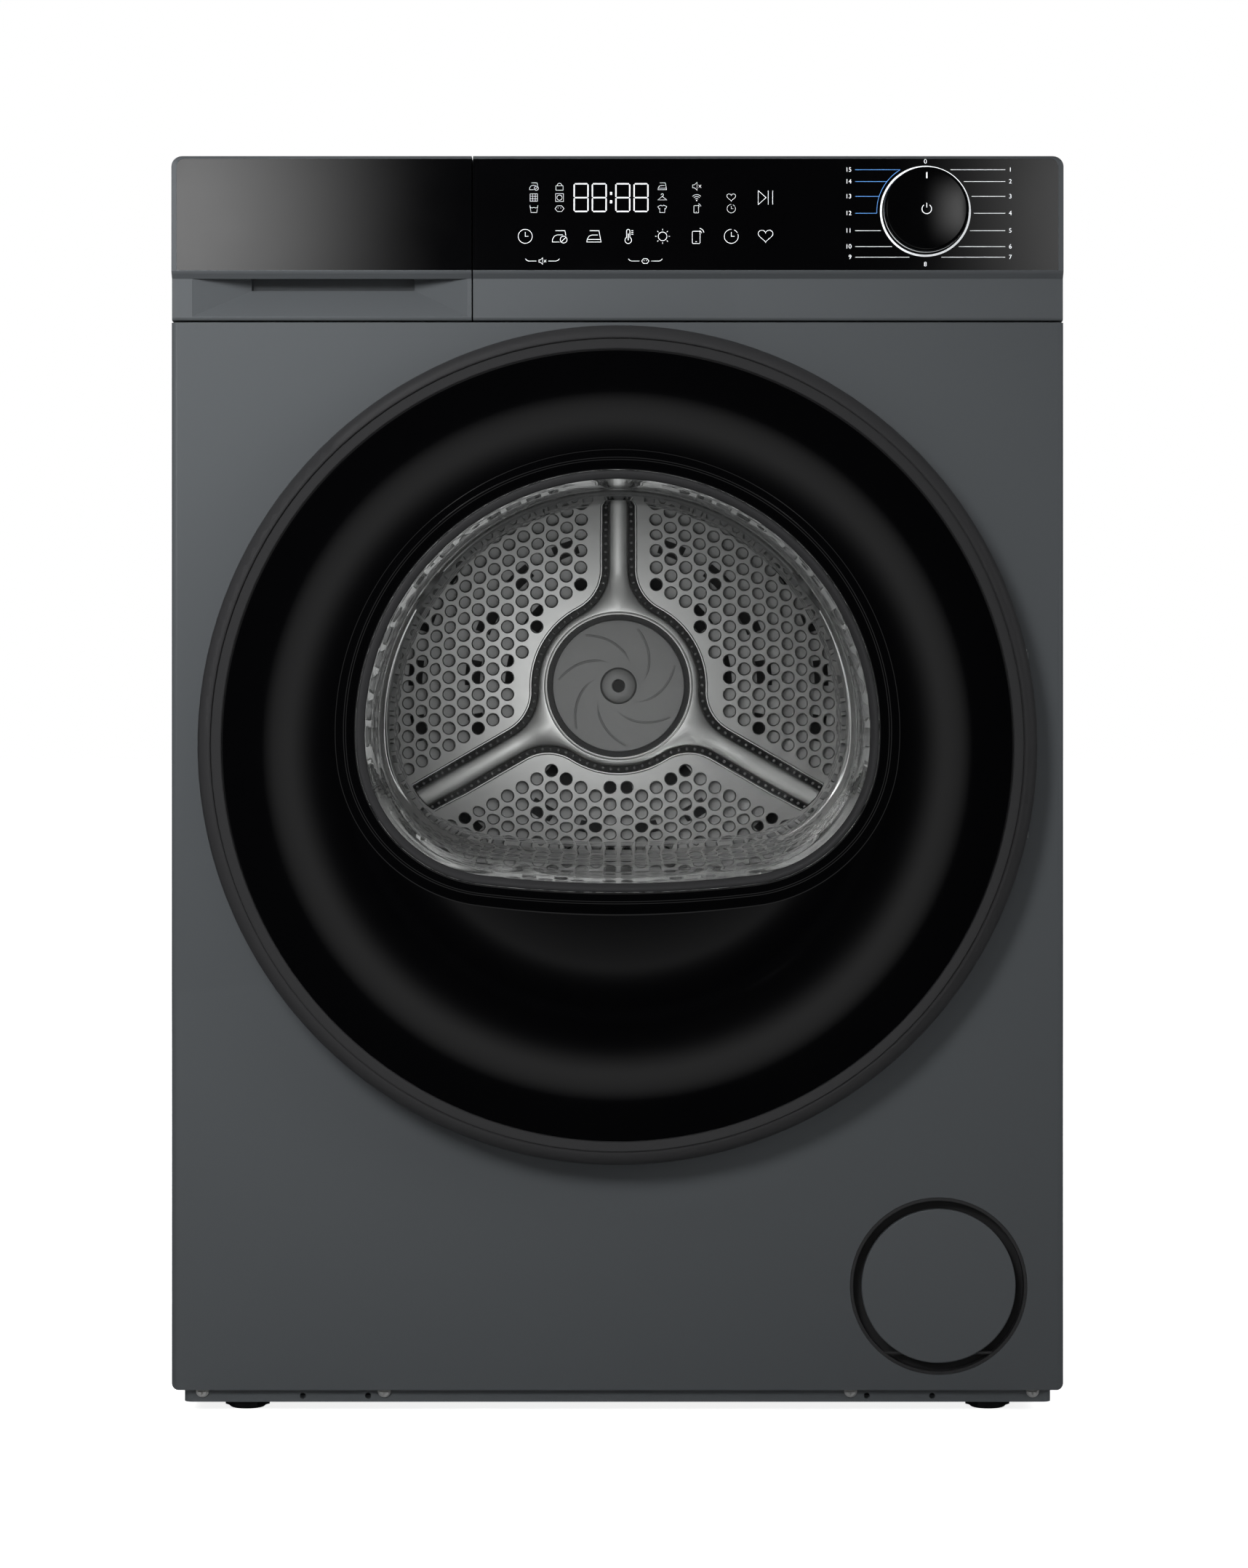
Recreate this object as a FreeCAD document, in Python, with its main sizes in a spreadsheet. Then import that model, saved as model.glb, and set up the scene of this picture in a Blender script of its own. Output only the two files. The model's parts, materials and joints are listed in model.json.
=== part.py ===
import FreeCAD, Part
import math
import os
import Sketcher

# A free-standing front-loading tumble dryer with a heat pump, built as its separate pieces.
# Millimetres. X is to the right, Y runs from front to back, Z is up. The origin is on the floor,
# under the middle of the bounding box, and the front faces -Y.

DIMENSIONS = {
    # cabinet
    "cabinet_width": 600, "cabinet_height": 845, "rear_limit": 325, "front_face": -290, "rear_face": 286,
    "sheet_metal": 1.5, "plinth_low": 6.4, "plinth_top": 15.2, "panel_top": 733, "panel_depth": 14,
    "panel_edge": 4, "worktop_low": 829, "fascia_back": -262, "pan_half_width": 292, "pan_wall": 4,
    "pan_height": 60, "pan_end": 284,
    # control panel
    "fascia_front": -294, "fascia_low": 734, "fascia_split": -97.6, "split_gap": 0.5, "band_top": 762.3,
    "bevel_top": 765.7, "insert_low": 767.7, "insert_top": 842.5, "insert_half_width": 296,
    "insert_thick": 2.4, "fascia_corner": 8,
    "knob_x": 206.7, "knob_z": 807.2, "knob_radius": 28.5, "knob_front": -308, "knob_shaft": 3,
    # water tank drawer
    "tank_left": -290, "tank_right": -106, "tank_low": 769, "tank_top": 820, "tank_back": 218,
    "tank_wall": 2.5, "sleeve_gap": 3, "sleeve_wall": 2, "sleeve_front": -258,
    # door
    "door_z": 448.9, "door_front": -325, "door_back": -293.6, "ring_radius": 279.6, "ring_step": 270,
    "ring_inner": 263.5, "dish_edge": -322, "dish_floor": -299, "dish_flat": 150, "dish_curve": 290.6,
    "window_radius": 175.5, "window_centre": 9, "window_corner": 95, "window_bow": 762,
    "window_bottom": -98.8, "bowl_end": -205, "bowl_wall": 4,
    "hinge_x": 268, "hinge_y": -309, "hinge_pin": 4, "latch_x": -258,
    # mouth and drum
    "mouth_margin": 22, "mouth_wall": 4, "support_front": -262, "support_back": -258,
    "drum_z": 494, "drum_radius": 276, "drum_sheet": 1.2, "drum_front": -240, "drum_end": 262,
    "drum_wall": 258, "shaft_radius": 9, "felt_radius": 266, "hub_radius": 60, "arm_width": 29.4,
    "arm_reach": 199, "hole_radius": 4.5, "hole_pitch": 13.5,
    # rear air duct
    "duct_radius": 235, "duct_left": 90, "duct_low": 50, "duct_wall": 2,
    # service flap
    "flap_x": 215.9, "flap_z": 85.1, "flap_radius": 51.8, "recess_radius": 59.5,
    # drive and heat pump
    "motor_x": 150, "motor_z": 110, "motor_radius": 55, "belt_front": -60, "belt_back": -50,
    "compressor_x": -150, "compressor_y": 130, "compressor_radius": 60,
    # feet
    "foot_x": 251, "foot_y": 262, "foot_stud": 4, "foot_boss_top": 28,
}

TURN_TO_Y = FreeCAD.Rotation(FreeCAD.Vector(1, 0, 0), -90)
TURN_TO_X = FreeCAD.Rotation(FreeCAD.Vector(0, 1, 0), 90)
TURN_TO_Z = FreeCAD.Rotation()
ARM_ANGLES = (90, 210, 330)
LIFTER_ANGLES = (30, 150, 270)
SCREW_PLACES = (-279.5, -157, 157, 279.5)
SCREW_HEIGHT = 14
DRAIN_HOLES = (-212, -168, 168, 212)

document = FreeCAD.newDocument("dryer")
nodes = []


class Size:
    """A length together with the sheet expression it follows from."""

    def __init__(self, value, text=None):
        self.value = float(value)
        self.text = text or repr(float(value))

    def combine(self, other, sign, value):
        return Size(value, f"({self.text} {sign} {as_size(other).text})")

    def __add__(self, other):
        return self.combine(other, "+", self.value + as_size(other).value)

    def __sub__(self, other):
        return self.combine(other, "-", self.value - as_size(other).value)

    def __mul__(self, other):
        return self.combine(other, "*", self.value * as_size(other).value)

    def __truediv__(self, other):
        return self.combine(other, "/", self.value / as_size(other).value)

    def __radd__(self, other):
        return as_size(other) + self

    def __rsub__(self, other):
        return as_size(other) - self

    def __rmul__(self, other):
        return as_size(other) * self

    def __neg__(self):
        return Size(-self.value, f"(0 - {self.text})")

    def root(self):
        return Size(math.sqrt(self.value), f"sqrt({self.text})")


def as_size(number):
    return number if isinstance(number, Size) else Size(number)


def fill_sheet():
    """Write every driving dimension to the sheet, with its alias."""
    sheet = document.addObject("Spreadsheet::Sheet", "Dims")
    for row, (alias, value) in enumerate(DIMENSIONS.items(), start=1):
        sheet.set(f"A{row}", alias)
        sheet.set(f"B{row}", str(value))
        sheet.setAlias(f"B{row}", alias)
    document.recompute()
    return {alias: Size(value, f"Dims.{alias}") for alias, value in DIMENSIONS.items()}


dims = fill_sheet()


# ---------------------------------------------------------------- building blocks

def bind(item, **sizes):
    for name, number in sizes.items():
        item.setExpression(name.replace("__", "."), as_size(number).text)


def place(item, x=0, y=0, z=0, rotation=TURN_TO_Z):
    item.Placement = FreeCAD.Placement(FreeCAD.Vector(0, 0, 0), rotation)
    bind(item, Placement__Base__x=x, Placement__Base__y=y, Placement__Base__z=z)


def box(x, y, z):
    """A block between the low and high value of each axis."""
    item = document.addObject("Part::Box", "Block")
    bind(item, Length=as_size(x[1]) - x[0], Width=as_size(y[1]) - y[0], Height=as_size(z[1]) - z[0])
    place(item, x[0], y[0], z[0])
    return item


def rod(axis, radius, span, x=0, y=0, z=0):
    """A cylinder along one axis, from the low to the high value of span."""
    item = document.addObject("Part::Cylinder", "Rod")
    bind(item, Radius=radius, Height=as_size(span[1]) - span[0])
    if axis == "x":
        place(item, span[0], y, z, TURN_TO_X)
    elif axis == "y":
        place(item, x, span[0], z, TURN_TO_Y)
    else:
        place(item, x, y, span[0])
    return item


def tube(axis, outer, inner, span, **centre):
    return cut(rod(axis, outer, span, **centre), rod(axis, inner, span, **centre))


def cut(base, *tools):
    item = document.addObject("Part::Cut", "Cut")
    item.Base = base
    item.Tool = tools[0] if len(tools) == 1 else fuse(*tools)
    return item


def fuse(*shapes):
    item = document.addObject("Part::MultiFuse", "Fuse")
    item.Shapes = list(shapes)
    return item


def common(*shapes):
    item = document.addObject("Part::MultiCommon", "Common")
    item.Shapes = list(shapes)
    return item


def arc_between(start, end, radius):
    """The shorter arc between two points: it turns left when the radius is positive."""
    (x0, y0), (x1, y1) = start, end
    span = math.hypot(x1 - x0, y1 - y0)
    rise = math.copysign(math.sqrt(max(radius * radius - span * span / 4, 0)), radius)
    centre = FreeCAD.Vector((x0 + x1) / 2 - (y1 - y0) / span * rise,
                            (y0 + y1) / 2 + (x1 - x0) / span * rise, 0)
    first, last = (start, end) if radius > 0 else (end, start)
    angles = [math.atan2(point[1] - centre.y, point[0] - centre.x) for point in (first, last)]
    if angles[1] <= angles[0]:
        angles[1] += 2 * math.pi
    circle = Part.Circle(centre, FreeCAD.Vector(0, 0, 1), abs(radius))
    return Part.ArcOfCircle(circle, *angles)


def set_arc(sketch, side, start, end):
    """Fix an arc by its radius, or a half-turn by the middle of its two ends."""
    across, up = end[0].value - start[0].value, end[1].value - start[1].value
    radius = start[2] if start[2].value > 0 else -start[2]
    if math.hypot(across, up) < 2 * radius.value - 1e-6:
        number = radius
        rule = sketch.addConstraint(Sketcher.Constraint("Radius", side, number.value))
    else:
        along = 1 if abs(across) > abs(up) else 0
        number = (start[along] + end[along]) / 2
        kind = "DistanceY" if along else "DistanceX"
        rule = sketch.addConstraint(Sketcher.Constraint(kind, -1, 1, side, 3, number.value))
    sketch.setExpression(f"Constraints[{rule}]", number.text)


def draw(sketch, outline):
    """A closed outline of points. A third value on a point makes its side an arc of that radius."""
    corners = [tuple(as_size(number) for number in point) for point in outline]
    first = sketch.GeometryCount
    ends = []
    for index, corner in enumerate(corners):
        following = corners[(index + 1) % len(corners)]
        start = (corner[0].value, corner[1].value)
        end = (following[0].value, following[1].value)
        if len(corner) == 3:
            sketch.addGeometry(arc_between(start, end, corner[2].value), False)
            ends.append((1, 2) if corner[2].value > 0 else (2, 1))
        else:
            side = Part.LineSegment(FreeCAD.Vector(*start, 0), FreeCAD.Vector(*end, 0))
            sketch.addGeometry(side, False)
            ends.append((1, 2))
    for index, corner in enumerate(corners):
        side = first + index
        before = (index - 1) % len(corners)
        sketch.addConstraint(Sketcher.Constraint("Coincident", first + before, ends[before][1],
                                                 side, ends[index][0]))
        for kind, number in (("DistanceX", corner[0]), ("DistanceY", corner[1])):
            rule = sketch.addConstraint(Sketcher.Constraint(kind, -1, 1, side, ends[index][0], number.value))
            sketch.setExpression(f"Constraints[{rule}]", number.text)
        if len(corner) == 3:
            set_arc(sketch, side, corner, corners[(index + 1) % len(corners)])


def start_body(plane, *outlines):
    body = document.addObject("PartDesign::Body", "Body")
    sketch = body.newObject("Sketcher::SketchObject", "Outline")
    origin_plane = [item for item in body.Origin.OriginFeatures if item.Role == plane][0]
    sketch.AttachmentSupport = [(origin_plane, "")]
    sketch.MapMode = "FlatFace"
    for outline in outlines:
        draw(sketch, outline)
    return body, sketch


def slab(axis, span, *outlines):
    """A sheet or block with the outlines' shape, along one axis. Later outlines are its holes."""
    plane = {"x": "YZ_Plane", "y": "XZ_Plane", "z": "XY_Plane"}[axis]
    body, sketch = start_body(plane, *outlines)
    pad = body.newObject("PartDesign::Pad", "Pad")
    pad.Profile = sketch
    bind(pad, Length=as_size(span[1]) - span[0])
    if axis == "x":
        place(body, x=span[0])
    elif axis == "y":
        place(body, y=span[1])
    else:
        place(body, z=span[0])
    return body


def turned(axis, outline, x=0, y=0, z=0):
    """An outline of (radius, height) points turned about an axis through the given place."""
    body, sketch = start_body("XY_Plane" if axis == "y" else "XZ_Plane", outline)
    spin = body.newObject("PartDesign::Revolution", "Spin")
    spin.Profile = sketch
    spin.ReferenceAxis = (sketch, ["V_Axis"])
    spin.Angle = 360
    place(body, x, y, z)
    return body


def rounded(x, y, corner):
    """A rectangle with round corners."""
    left, right, low, high = (as_size(number) for number in (*x, *y))
    return [(left + corner, low), (right - corner, low, corner), (right, low + corner),
            (right, high - corner, corner), (right - corner, high), (left + corner, high, corner),
            (left, high - corner), (left, low + corner, corner)]


def rectangle(x, y):
    return [(x[0], y[0]), (x[1], y[0]), (x[1], y[1]), (x[0], y[1])]


def disc(x, z, radius):
    """A full circle as two half-turns."""
    return [(as_size(x) - radius, z, radius), (as_size(x) + radius, z, radius)]


def node(item, label):
    item.Label = label
    nodes.append(item)
    return item


def window_outline(margin=0, lift=0):
    """The door window: a round top, two corners and a gently bowed bottom, grown by a margin."""
    top, corner, bow = (dims[f"window_{name}"] for name in ("radius", "corner", "bow"))
    top_z = dims["window_centre"]
    bow_z = dims["window_bottom"] + bow
    reach, depth, gap = top - corner, bow - corner, bow_z - top_z
    corner_z = (reach * reach - depth * depth + gap * gap) / (2 * gap)
    corner_x = (reach * reach - corner_z * corner_z).root()
    base = dims["door_z"] + top_z + lift
    side_x = corner_x * (top + margin) / reach
    side_z = base + corner_z * (top + margin) / reach
    foot_x = corner_x * (bow + margin) / depth
    foot_z = base + gap + (corner_z - gap) * (bow + margin) / depth
    peak = (0, base + top + margin, top + margin)
    return [(side_x, side_z, top + margin), peak, (-side_x, side_z, corner + margin),
            (-foot_x, foot_z, bow + margin), (foot_x, foot_z, corner + margin)]


# ---------------------------------------------------------------- cabinet

half_width = dims["cabinet_width"] / 2
front, rear, sheet = dims["front_face"], dims["rear_face"], dims["sheet_metal"]
door_z, drum_z = dims["door_z"], dims["drum_z"]
hinge_x, hinge_y = dims["hinge_x"], dims["hinge_y"]
door = {"x": 0, "z": door_z}
drum = {"x": 0, "z": drum_z}
motor = {"x": dims["motor_x"], "z": dims["motor_z"]}
flap = {"x": dims["flap_x"], "z": dims["flap_z"]}
knuckles = ((38, 62), (-62, -38))


def make_base_pan():
    """The moulded tray at the bottom, with a threaded boss over each foot."""
    low, high, wall = dims["plinth_low"], dims["pan_height"], dims["pan_wall"]
    reach, end, boss_top = dims["pan_half_width"], dims["pan_end"], dims["foot_boss_top"]
    outside = slab("z", (low, high), rounded((-reach, reach), (-end, end), 6))
    inside = box((wall - reach, reach - wall), (wall - end, end - wall), (low + wall, high + 1))
    corners = [(side * dims["foot_x"], depth * dims["foot_y"]) for side in (-1, 1) for depth in (-1, 1)]
    bosses = [rod("z", 11, (low, boss_top), x=x, y=y) for x, y in corners]
    bores = [rod("z", dims["foot_stud"] + 0.05, (low - 1, boss_top + 1), x=x, y=y) for x, y in corners]
    through = (-end - 1, wall - end + 1)
    drains = [rod("y", 2, through, x=x, z=10.4) for x in DRAIN_HOLES]
    screws = [rod("y", 2, through, x=x, z=SCREW_HEIGHT) for x in SCREW_PLACES]
    service = rod("y", dims["recess_radius"] + 1.5, through, **flap)
    node(cut(fuse(cut(outside, inside), *bosses), *bores, *drains, *screws, service), "base_pan")


def make_panel_screws():
    """The four cross-slot screws in the tray's front edge."""
    face, z = -dims["pan_end"], SCREW_HEIGHT
    screws = []
    for x in SCREW_PLACES:
        head = turned("y", [(0, -2.6), (2.6, -2.6, 2.5), (4.5, -1), (4.5, 0), (0, 0)], x=x, y=face, z=z)
        depth = (face - 3, face - 1.2)
        slots = [box((x - half_x, x + half_x), depth, (z - half_z, z + half_z))
                 for half_x, half_z in ((2.6, 0.6), (0.6, 2.6))]
        shank = rod("y", 1.9, (face, face + 12), x=x, z=z)
        screws.append(cut(fuse(head, shank), *slots))
    node(fuse(*screws), "panel_screws")


def make_front_panel():
    low, top, edge = dims["plinth_top"], dims["panel_top"], dims["panel_edge"]
    back = front + dims["panel_depth"]
    bend, inner = half_width - edge, edge - sheet
    section = [(-half_width, back), (-half_width, front + edge, edge), (-bend, front), (bend, front, edge),
               (half_width, front + edge), (half_width, back), (half_width - sheet, back),
               (half_width - sheet, front + edge, -inner), (bend, front + sheet),
               (-bend, front + sheet, -inner),
               (sheet - half_width, front + edge), (sheet - half_width, back)]
    pressed = slab("z", (low, top), section)
    corner = 5
    limits = slab("y", (front - 1, back + 1),
                  [(corner - half_width, low), (half_width - corner, low, corner), (half_width, low + corner),
                   (half_width, top), (-half_width, top), (-half_width, low + corner, corner)])
    through = (front - 1, front + 4)
    mouth = slab("y", through, window_outline(dims["mouth_margin"] + 5))
    service = rod("y", dims["recess_radius"] + 0.2, through, **flap)
    slots = [box((hinge_x - 5, hinge_x + 5), through, (door_z + low_z - 2, door_z + high_z + 2))
             for low_z, high_z in knuckles]
    latch = box((dims["latch_x"] - 8, dims["latch_x"] + 8), through, (door_z - 14, door_z + 14))
    node(cut(common(pressed, limits), mouth, service, latch, *slots), "front_panel")


def make_side_panels():
    back = rear - sheet
    for name, x in (("left", -half_width), ("right", half_width - sheet)):
        wall = fuse(box((x, x + sheet), (front + dims["panel_depth"] + 0.5, back),
                        (dims["plinth_top"], dims["panel_top"])),
                    box((x, x + sheet), (dims["fascia_back"] + 0.5, back),
                        (dims["panel_top"], dims["worktop_low"])))
        node(wall, f"side_panel_{name}")


def make_rear_panel():
    span = (rear - sheet, rear)
    openings = [disc(0, drum_z, 22.3), disc(dims["motor_x"], dims["motor_z"], 47)]
    for turn in range(6):
        angle = math.radians(60 * turn + 30)
        openings.append(disc(130 * math.cos(angle), drum_z + 130 * math.sin(angle), 45))
    edge = rectangle((0.5 - half_width, half_width - 0.5), (dims["plinth_top"], dims["worktop_low"]))
    node(slab("y", span, edge, *openings), "rear_panel")


def make_worktop():
    """A laminated board whose long top edges are rounded."""
    low, top = dims["worktop_low"], dims["cabinet_height"]
    reach, round_edge = half_width - 0.5, 4
    section = [(-reach, low), (reach, low), (reach, top - round_edge, round_edge),
               (reach - round_edge, top), (round_edge - reach, top, round_edge), (-reach, top - round_edge)]
    board = slab("y", (dims["fascia_back"] + 0.5, rear), section)
    node(board, "worktop")


def make_front_rail():
    rail = box((sheet - half_width, half_width - sheet), (front + 4, front + 26), (715, 731))
    hollow = box((sheet - half_width, half_width - sheet), (front + 5.5, front + 27), (716.5, 729.5))
    node(cut(rail, hollow), "front_rail")


# ---------------------------------------------------------------- control panel

def fascia_block(left, right, rounded_left, rounded_right):
    """The control panel's side profile, cut to its front outline with round upper corners."""
    low, top = dims["fascia_low"], dims["cabinet_height"]
    back, face = dims["fascia_back"], dims["fascia_front"]
    band = face + 4
    profile = [(back, low), (band + 2.5, low, -2.5), (band, low + 2.5), (band, dims["band_top"]),
               (face + 0.8, dims["bevel_top"]), (face, dims["insert_low"] - 0.6), (face, top - 6, -6),
               (face + 6, top), (back, top)]
    prism = slab("x", (left, right), profile)
    corner = dims["fascia_corner"]
    outline = [(left, low), (right, low)]
    outline += [(right, top - corner, corner), (right - corner, top)] if rounded_right else [(right, top)]
    outline += [(left + corner, top, corner), (left, top - corner)] if rounded_left else [(left, top)]
    return common(prism, slab("y", (face - 1, back + 1), outline))


def insert_plate(left, right, rounded_left, rounded_right):
    """The thin gloss plate set in the control panel's face."""
    low, top, corner = dims["insert_low"], dims["insert_top"], 5.5
    outline = [(left, low), (right, low)]
    outline += [(right, top - corner, corner), (right - corner, top)] if rounded_right else [(right, top)]
    outline += [(left + corner, top, corner), (left, top - corner)] if rounded_left else [(left, top)]
    face = dims["fascia_front"]
    return slab("y", (face, face + dims["insert_thick"]), outline)


def make_control_fascia():
    left, right = dims["fascia_split"] + dims["split_gap"], half_width - 0.5
    face, wall = dims["fascia_front"], 3
    edges = (left, dims["insert_half_width"], False, True)

    def shaft_hole():
        return rod("y", dims["knob_shaft"] + 0.05, (face - 1, face + 9), x=dims["knob_x"], z=dims["knob_z"])
    room = box((left + wall, right - wall), (face + 7, dims["fascia_back"] + 1),
               (dims["fascia_low"] + wall, dims["cabinet_height"] - wall - 1))
    block = fascia_block(left, right, False, True)
    node(cut(block, room, insert_plate(*edges), shaft_hole()), "control_fascia")
    node(cut(insert_plate(*edges), shaft_hole()), "fascia_glass")


def make_selector():
    face, outer, shaft = dims["fascia_front"], dims["knob_radius"], dims["knob_shaft"]
    tip = dims["knob_front"]
    profile = [(0, tip), (outer - 3, tip, 3), (outer, tip + 3), (outer, face - 0.6),
               (outer - 3, face - 0.6), (outer - 3, tip + 4), (shaft, tip + 4), (shaft, face + 12),
               (0, face + 12)]
    node(turned("y", profile, x=dims["knob_x"], z=dims["knob_z"]), "selector_knob")
    ring = tube("y", outer + 2, outer + 0.7, (face - 0.5, face), x=dims["knob_x"], z=dims["knob_z"])
    node(ring, "dial_ring")


def make_control_board():
    case = box((40, 270), (-235, -95), (786, 822))
    room = box((43, 267), (-232, -98), (789, 823))
    board = box((50, 260), (-225, -105), (789, 792))
    parts = [box((x, x + 22), (-200, -160), (792, 812)) for x in (70, 110, 150)]
    node(fuse(cut(case, room), board, *parts), "control_board")


# ---------------------------------------------------------------- water tank drawer

def handle_recess():
    """The finger recess under the drawer's insert: a sloped funnel with a slot behind its top."""
    band = dims["fascia_front"] + 4
    funnel = document.addObject("Part::Wedge", "Funnel")
    low, top = 737, dims["band_top"]
    bind(funnel, Xmin=-286, Xmax=-101, Zmin=low, Zmax=top, Ymin=0, Ymax=14,
         X2min=-247, X2max=-137, Z2min=755.5, Z2max=top)
    place(funnel, y=band)
    opening = box((-286, -101), (band - 3, band), (low, top))
    slot = box((-247, -137), (band + 2, band + 20), (755.5, 778))
    return fuse(funnel, opening, slot)


def make_drawer_front():
    left, right = 0.5 - half_width, dims["fascia_split"] - dims["split_gap"]
    edges = (-dims["insert_half_width"], right, True, False)
    node(cut(fascia_block(left, right, True, False), handle_recess(), insert_plate(*edges)), "drawer_front")
    node(insert_plate(*edges), "drawer_glass")


def make_tank():
    """An open box under a lid that stops short of the back, where the condensate drips in."""
    left, right, low, top = (dims[f"tank_{name}"] for name in ("left", "right", "low", "top"))
    start, end, wall = dims["fascia_back"], dims["tank_back"], dims["tank_wall"]
    body = slab("z", (low, top), rounded((left, right), (start, end), 12))
    room = slab("z", (low + wall, top + 1),
                rounded((left + wall, right - wall), (start + wall, end - wall), 10))
    node(cut(body, room), "tank_body")
    inlet_length, spout = 66, {"x": -200, "y": -220}
    lid = slab("z", (top, top + 2.5), rounded((left, right), (start, end - inlet_length), 12))
    rim = tube("z", 16, 12, (top, top + 4), **spout)
    node(fuse(cut(lid, rod("z", 12, (top - 1, top + 4), **spout)), rim), "tank_lid")


def make_drawer_housing():
    gap, wall = dims["sleeve_gap"], dims["sleeve_wall"]
    x = (dims["tank_left"] - gap, dims["tank_right"] + gap)
    y = (dims["sleeve_front"], dims["tank_back"] + gap)
    z = (dims["tank_low"] - gap, dims["tank_top"] + 5.5)
    outside = box((x[0] - wall, x[1] + wall), (y[0], y[1] + wall), (z[0] - wall, z[1] + wall))
    inside = box(x, (y[0] - 1, y[1]), z)
    node(cut(outside, inside), "drawer_housing")


# ---------------------------------------------------------------- door

def hinge_notch():
    """The space in the door's edge where the fixed knuckles sit and swing."""
    return box((hinge_x - 11, hinge_x + 17), (hinge_y - 8.2, front + 1), (door_z - 66, door_z + 66))


def make_door_ring():
    inner, step, outer = dims["ring_inner"], dims["ring_step"], dims["ring_radius"]
    tip, back = dims["door_front"], dims["door_back"]
    profile = [(inner, back), (inner, tip + 3.8), (inner + 0.8, tip + 3), (step, tip + 1.6),
               (step, tip + 2.4), (step + 0.8, tip + 2.4), (step + 0.8, tip + 0.4), (step + 1.6, tip),
               (outer - 7, tip, 7), (outer, tip + 7), (outer, back - 8), (outer - 7, back)]
    node(cut(turned("y", profile, **door), hinge_notch()), "door_ring")


def make_door_dish():
    """The concave funnel between the outer ring and the window."""
    edge, floor, flat, curve = (dims[f"dish_{name}"] for name in ("edge", "floor", "flat", "curve"))
    radius = dims["ring_inner"] - 0.2
    profile = [(0, floor), (flat, floor, -curve), (radius, edge), (radius, edge + 3, curve),
               (flat, floor + 2), (0, floor + 2)]
    window = slab("y", (floor - 5, floor + 5), window_outline())
    node(cut(turned("y", profile, **door), window, hinge_notch()), "door_dish")


def make_door_lip():
    floor = dims["dish_floor"]
    node(slab("y", (floor - 1.6, floor + 2), window_outline(-0.1), window_outline(-6)), "door_lip")


def bowl_sections(margin, ends):
    """Window outlines that shrink and rise towards the drum."""
    start, end = ends
    steps = ((0, 0, 0), (0.8, -4, 2), (0.9, -5.5, 3), (0.97, -8, 4), (1, -11.5, 5))
    sections = []
    for part, shrink, lift in steps:
        body, sketch = start_body("XZ_Plane", window_outline(margin + shrink, lift))
        bind(sketch, AttachmentOffset__Base__z=-(start + (end - start) * part))
        sections.append(sketch)
    return sections


def loft(sections):
    item = document.addObject("Part::Loft", "Loft")
    item.Sections = sections
    item.Solid = True
    item.Ruled = True
    return item


def make_door_bowl():
    floor, end, wall = dims["dish_floor"] + 2, dims["bowl_end"], dims["bowl_wall"]
    outer = loft(bowl_sections(-2, (floor, end)))
    inner = loft(bowl_sections(-2 - wall, (floor - 0.5, end - wall)))
    flange = slab("y", (floor, floor + 3), window_outline(1.6))
    node(cut(fuse(outer, flange), inner), "door_bowl")


def make_door_frame():
    """The door's flat rear cover, the collar round its bowl and the hook that the lock holds."""
    back, x = dims["door_back"], dims["latch_x"]
    cover = cut(rod("y", dims["ring_inner"] - 0.2, (back - 3, back), **door),
                slab("y", (back - 4, back + 1), window_outline(2)))
    node(cut(cover, hinge_notch()), "door_frame")
    node(slab("y", (back, front + 24), window_outline(6), window_outline(2)), "door_collar")
    half_height, tip = 8, front + 12
    height = (door_z - half_height, door_z + half_height)
    shank = box((x - 3, x + 3), (back, tip), height)
    barb = box((x - 3, x + 5), (tip - 3, tip), height)
    node(fuse(shank, barb), "door_hook")


def make_door_gasket():
    outer, inner = window_outline(dims["mouth_margin"] + 17), window_outline(dims["mouth_margin"] + 7)
    node(slab("y", (front - 3, front), outer, inner), "door_gasket")


def make_hinge():
    pin, low, high = dims["hinge_pin"], door_z - 66, door_z + 66
    plate = box((hinge_x - 28, hinge_x + 22), (front + 1.6, front + 4.6), (door_z - 75, door_z + 75))
    arms, barrels = [], []
    for low_z, high_z in knuckles:
        span = (door_z + low_z, door_z + high_z)
        arms.append(box((hinge_x - 3, hinge_x + 3), (hinge_y, front + 2), span))
        barrels.append(rod("z", 6.5, span, x=hinge_x, y=hinge_y))
    bore = rod("z", pin + 0.02, (low, high), x=hinge_x, y=hinge_y)
    node(cut(fuse(plate, *arms, *barrels), bore), "hinge_bracket")
    node(fuse(rod("z", pin, (low + 1, high - 1), x=hinge_x, y=hinge_y),
              rod("z", 5.5, (door_z + 62, door_z + 64), x=hinge_x, y=hinge_y)), "hinge_pin")
    span, back = (door_z - 37.5, door_z + 37.5), dims["door_back"]
    leaf = fuse(rod("z", 7, span, x=hinge_x, y=hinge_y),
                box((hinge_x - 10, hinge_x - 1), (hinge_y, back - 3), span),
                box((hinge_x - 46, hinge_x - 1), (back - 7, back - 3), span))
    node(cut(leaf, rod("z", pin + 0.06, (low, high), x=hinge_x, y=hinge_y)), "hinge_leaf")


def make_door_lock():
    x = dims["latch_x"]
    body = box((x - 14, x + 14), (front + 1.6, front + 26), (door_z - 29, door_z + 29))
    room = box((x - 8, x + 8), (front + 1, front + 20), (door_z - 14, door_z + 14))
    node(cut(body, room), "door_lock")


# ---------------------------------------------------------------- mouth and drum

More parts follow.
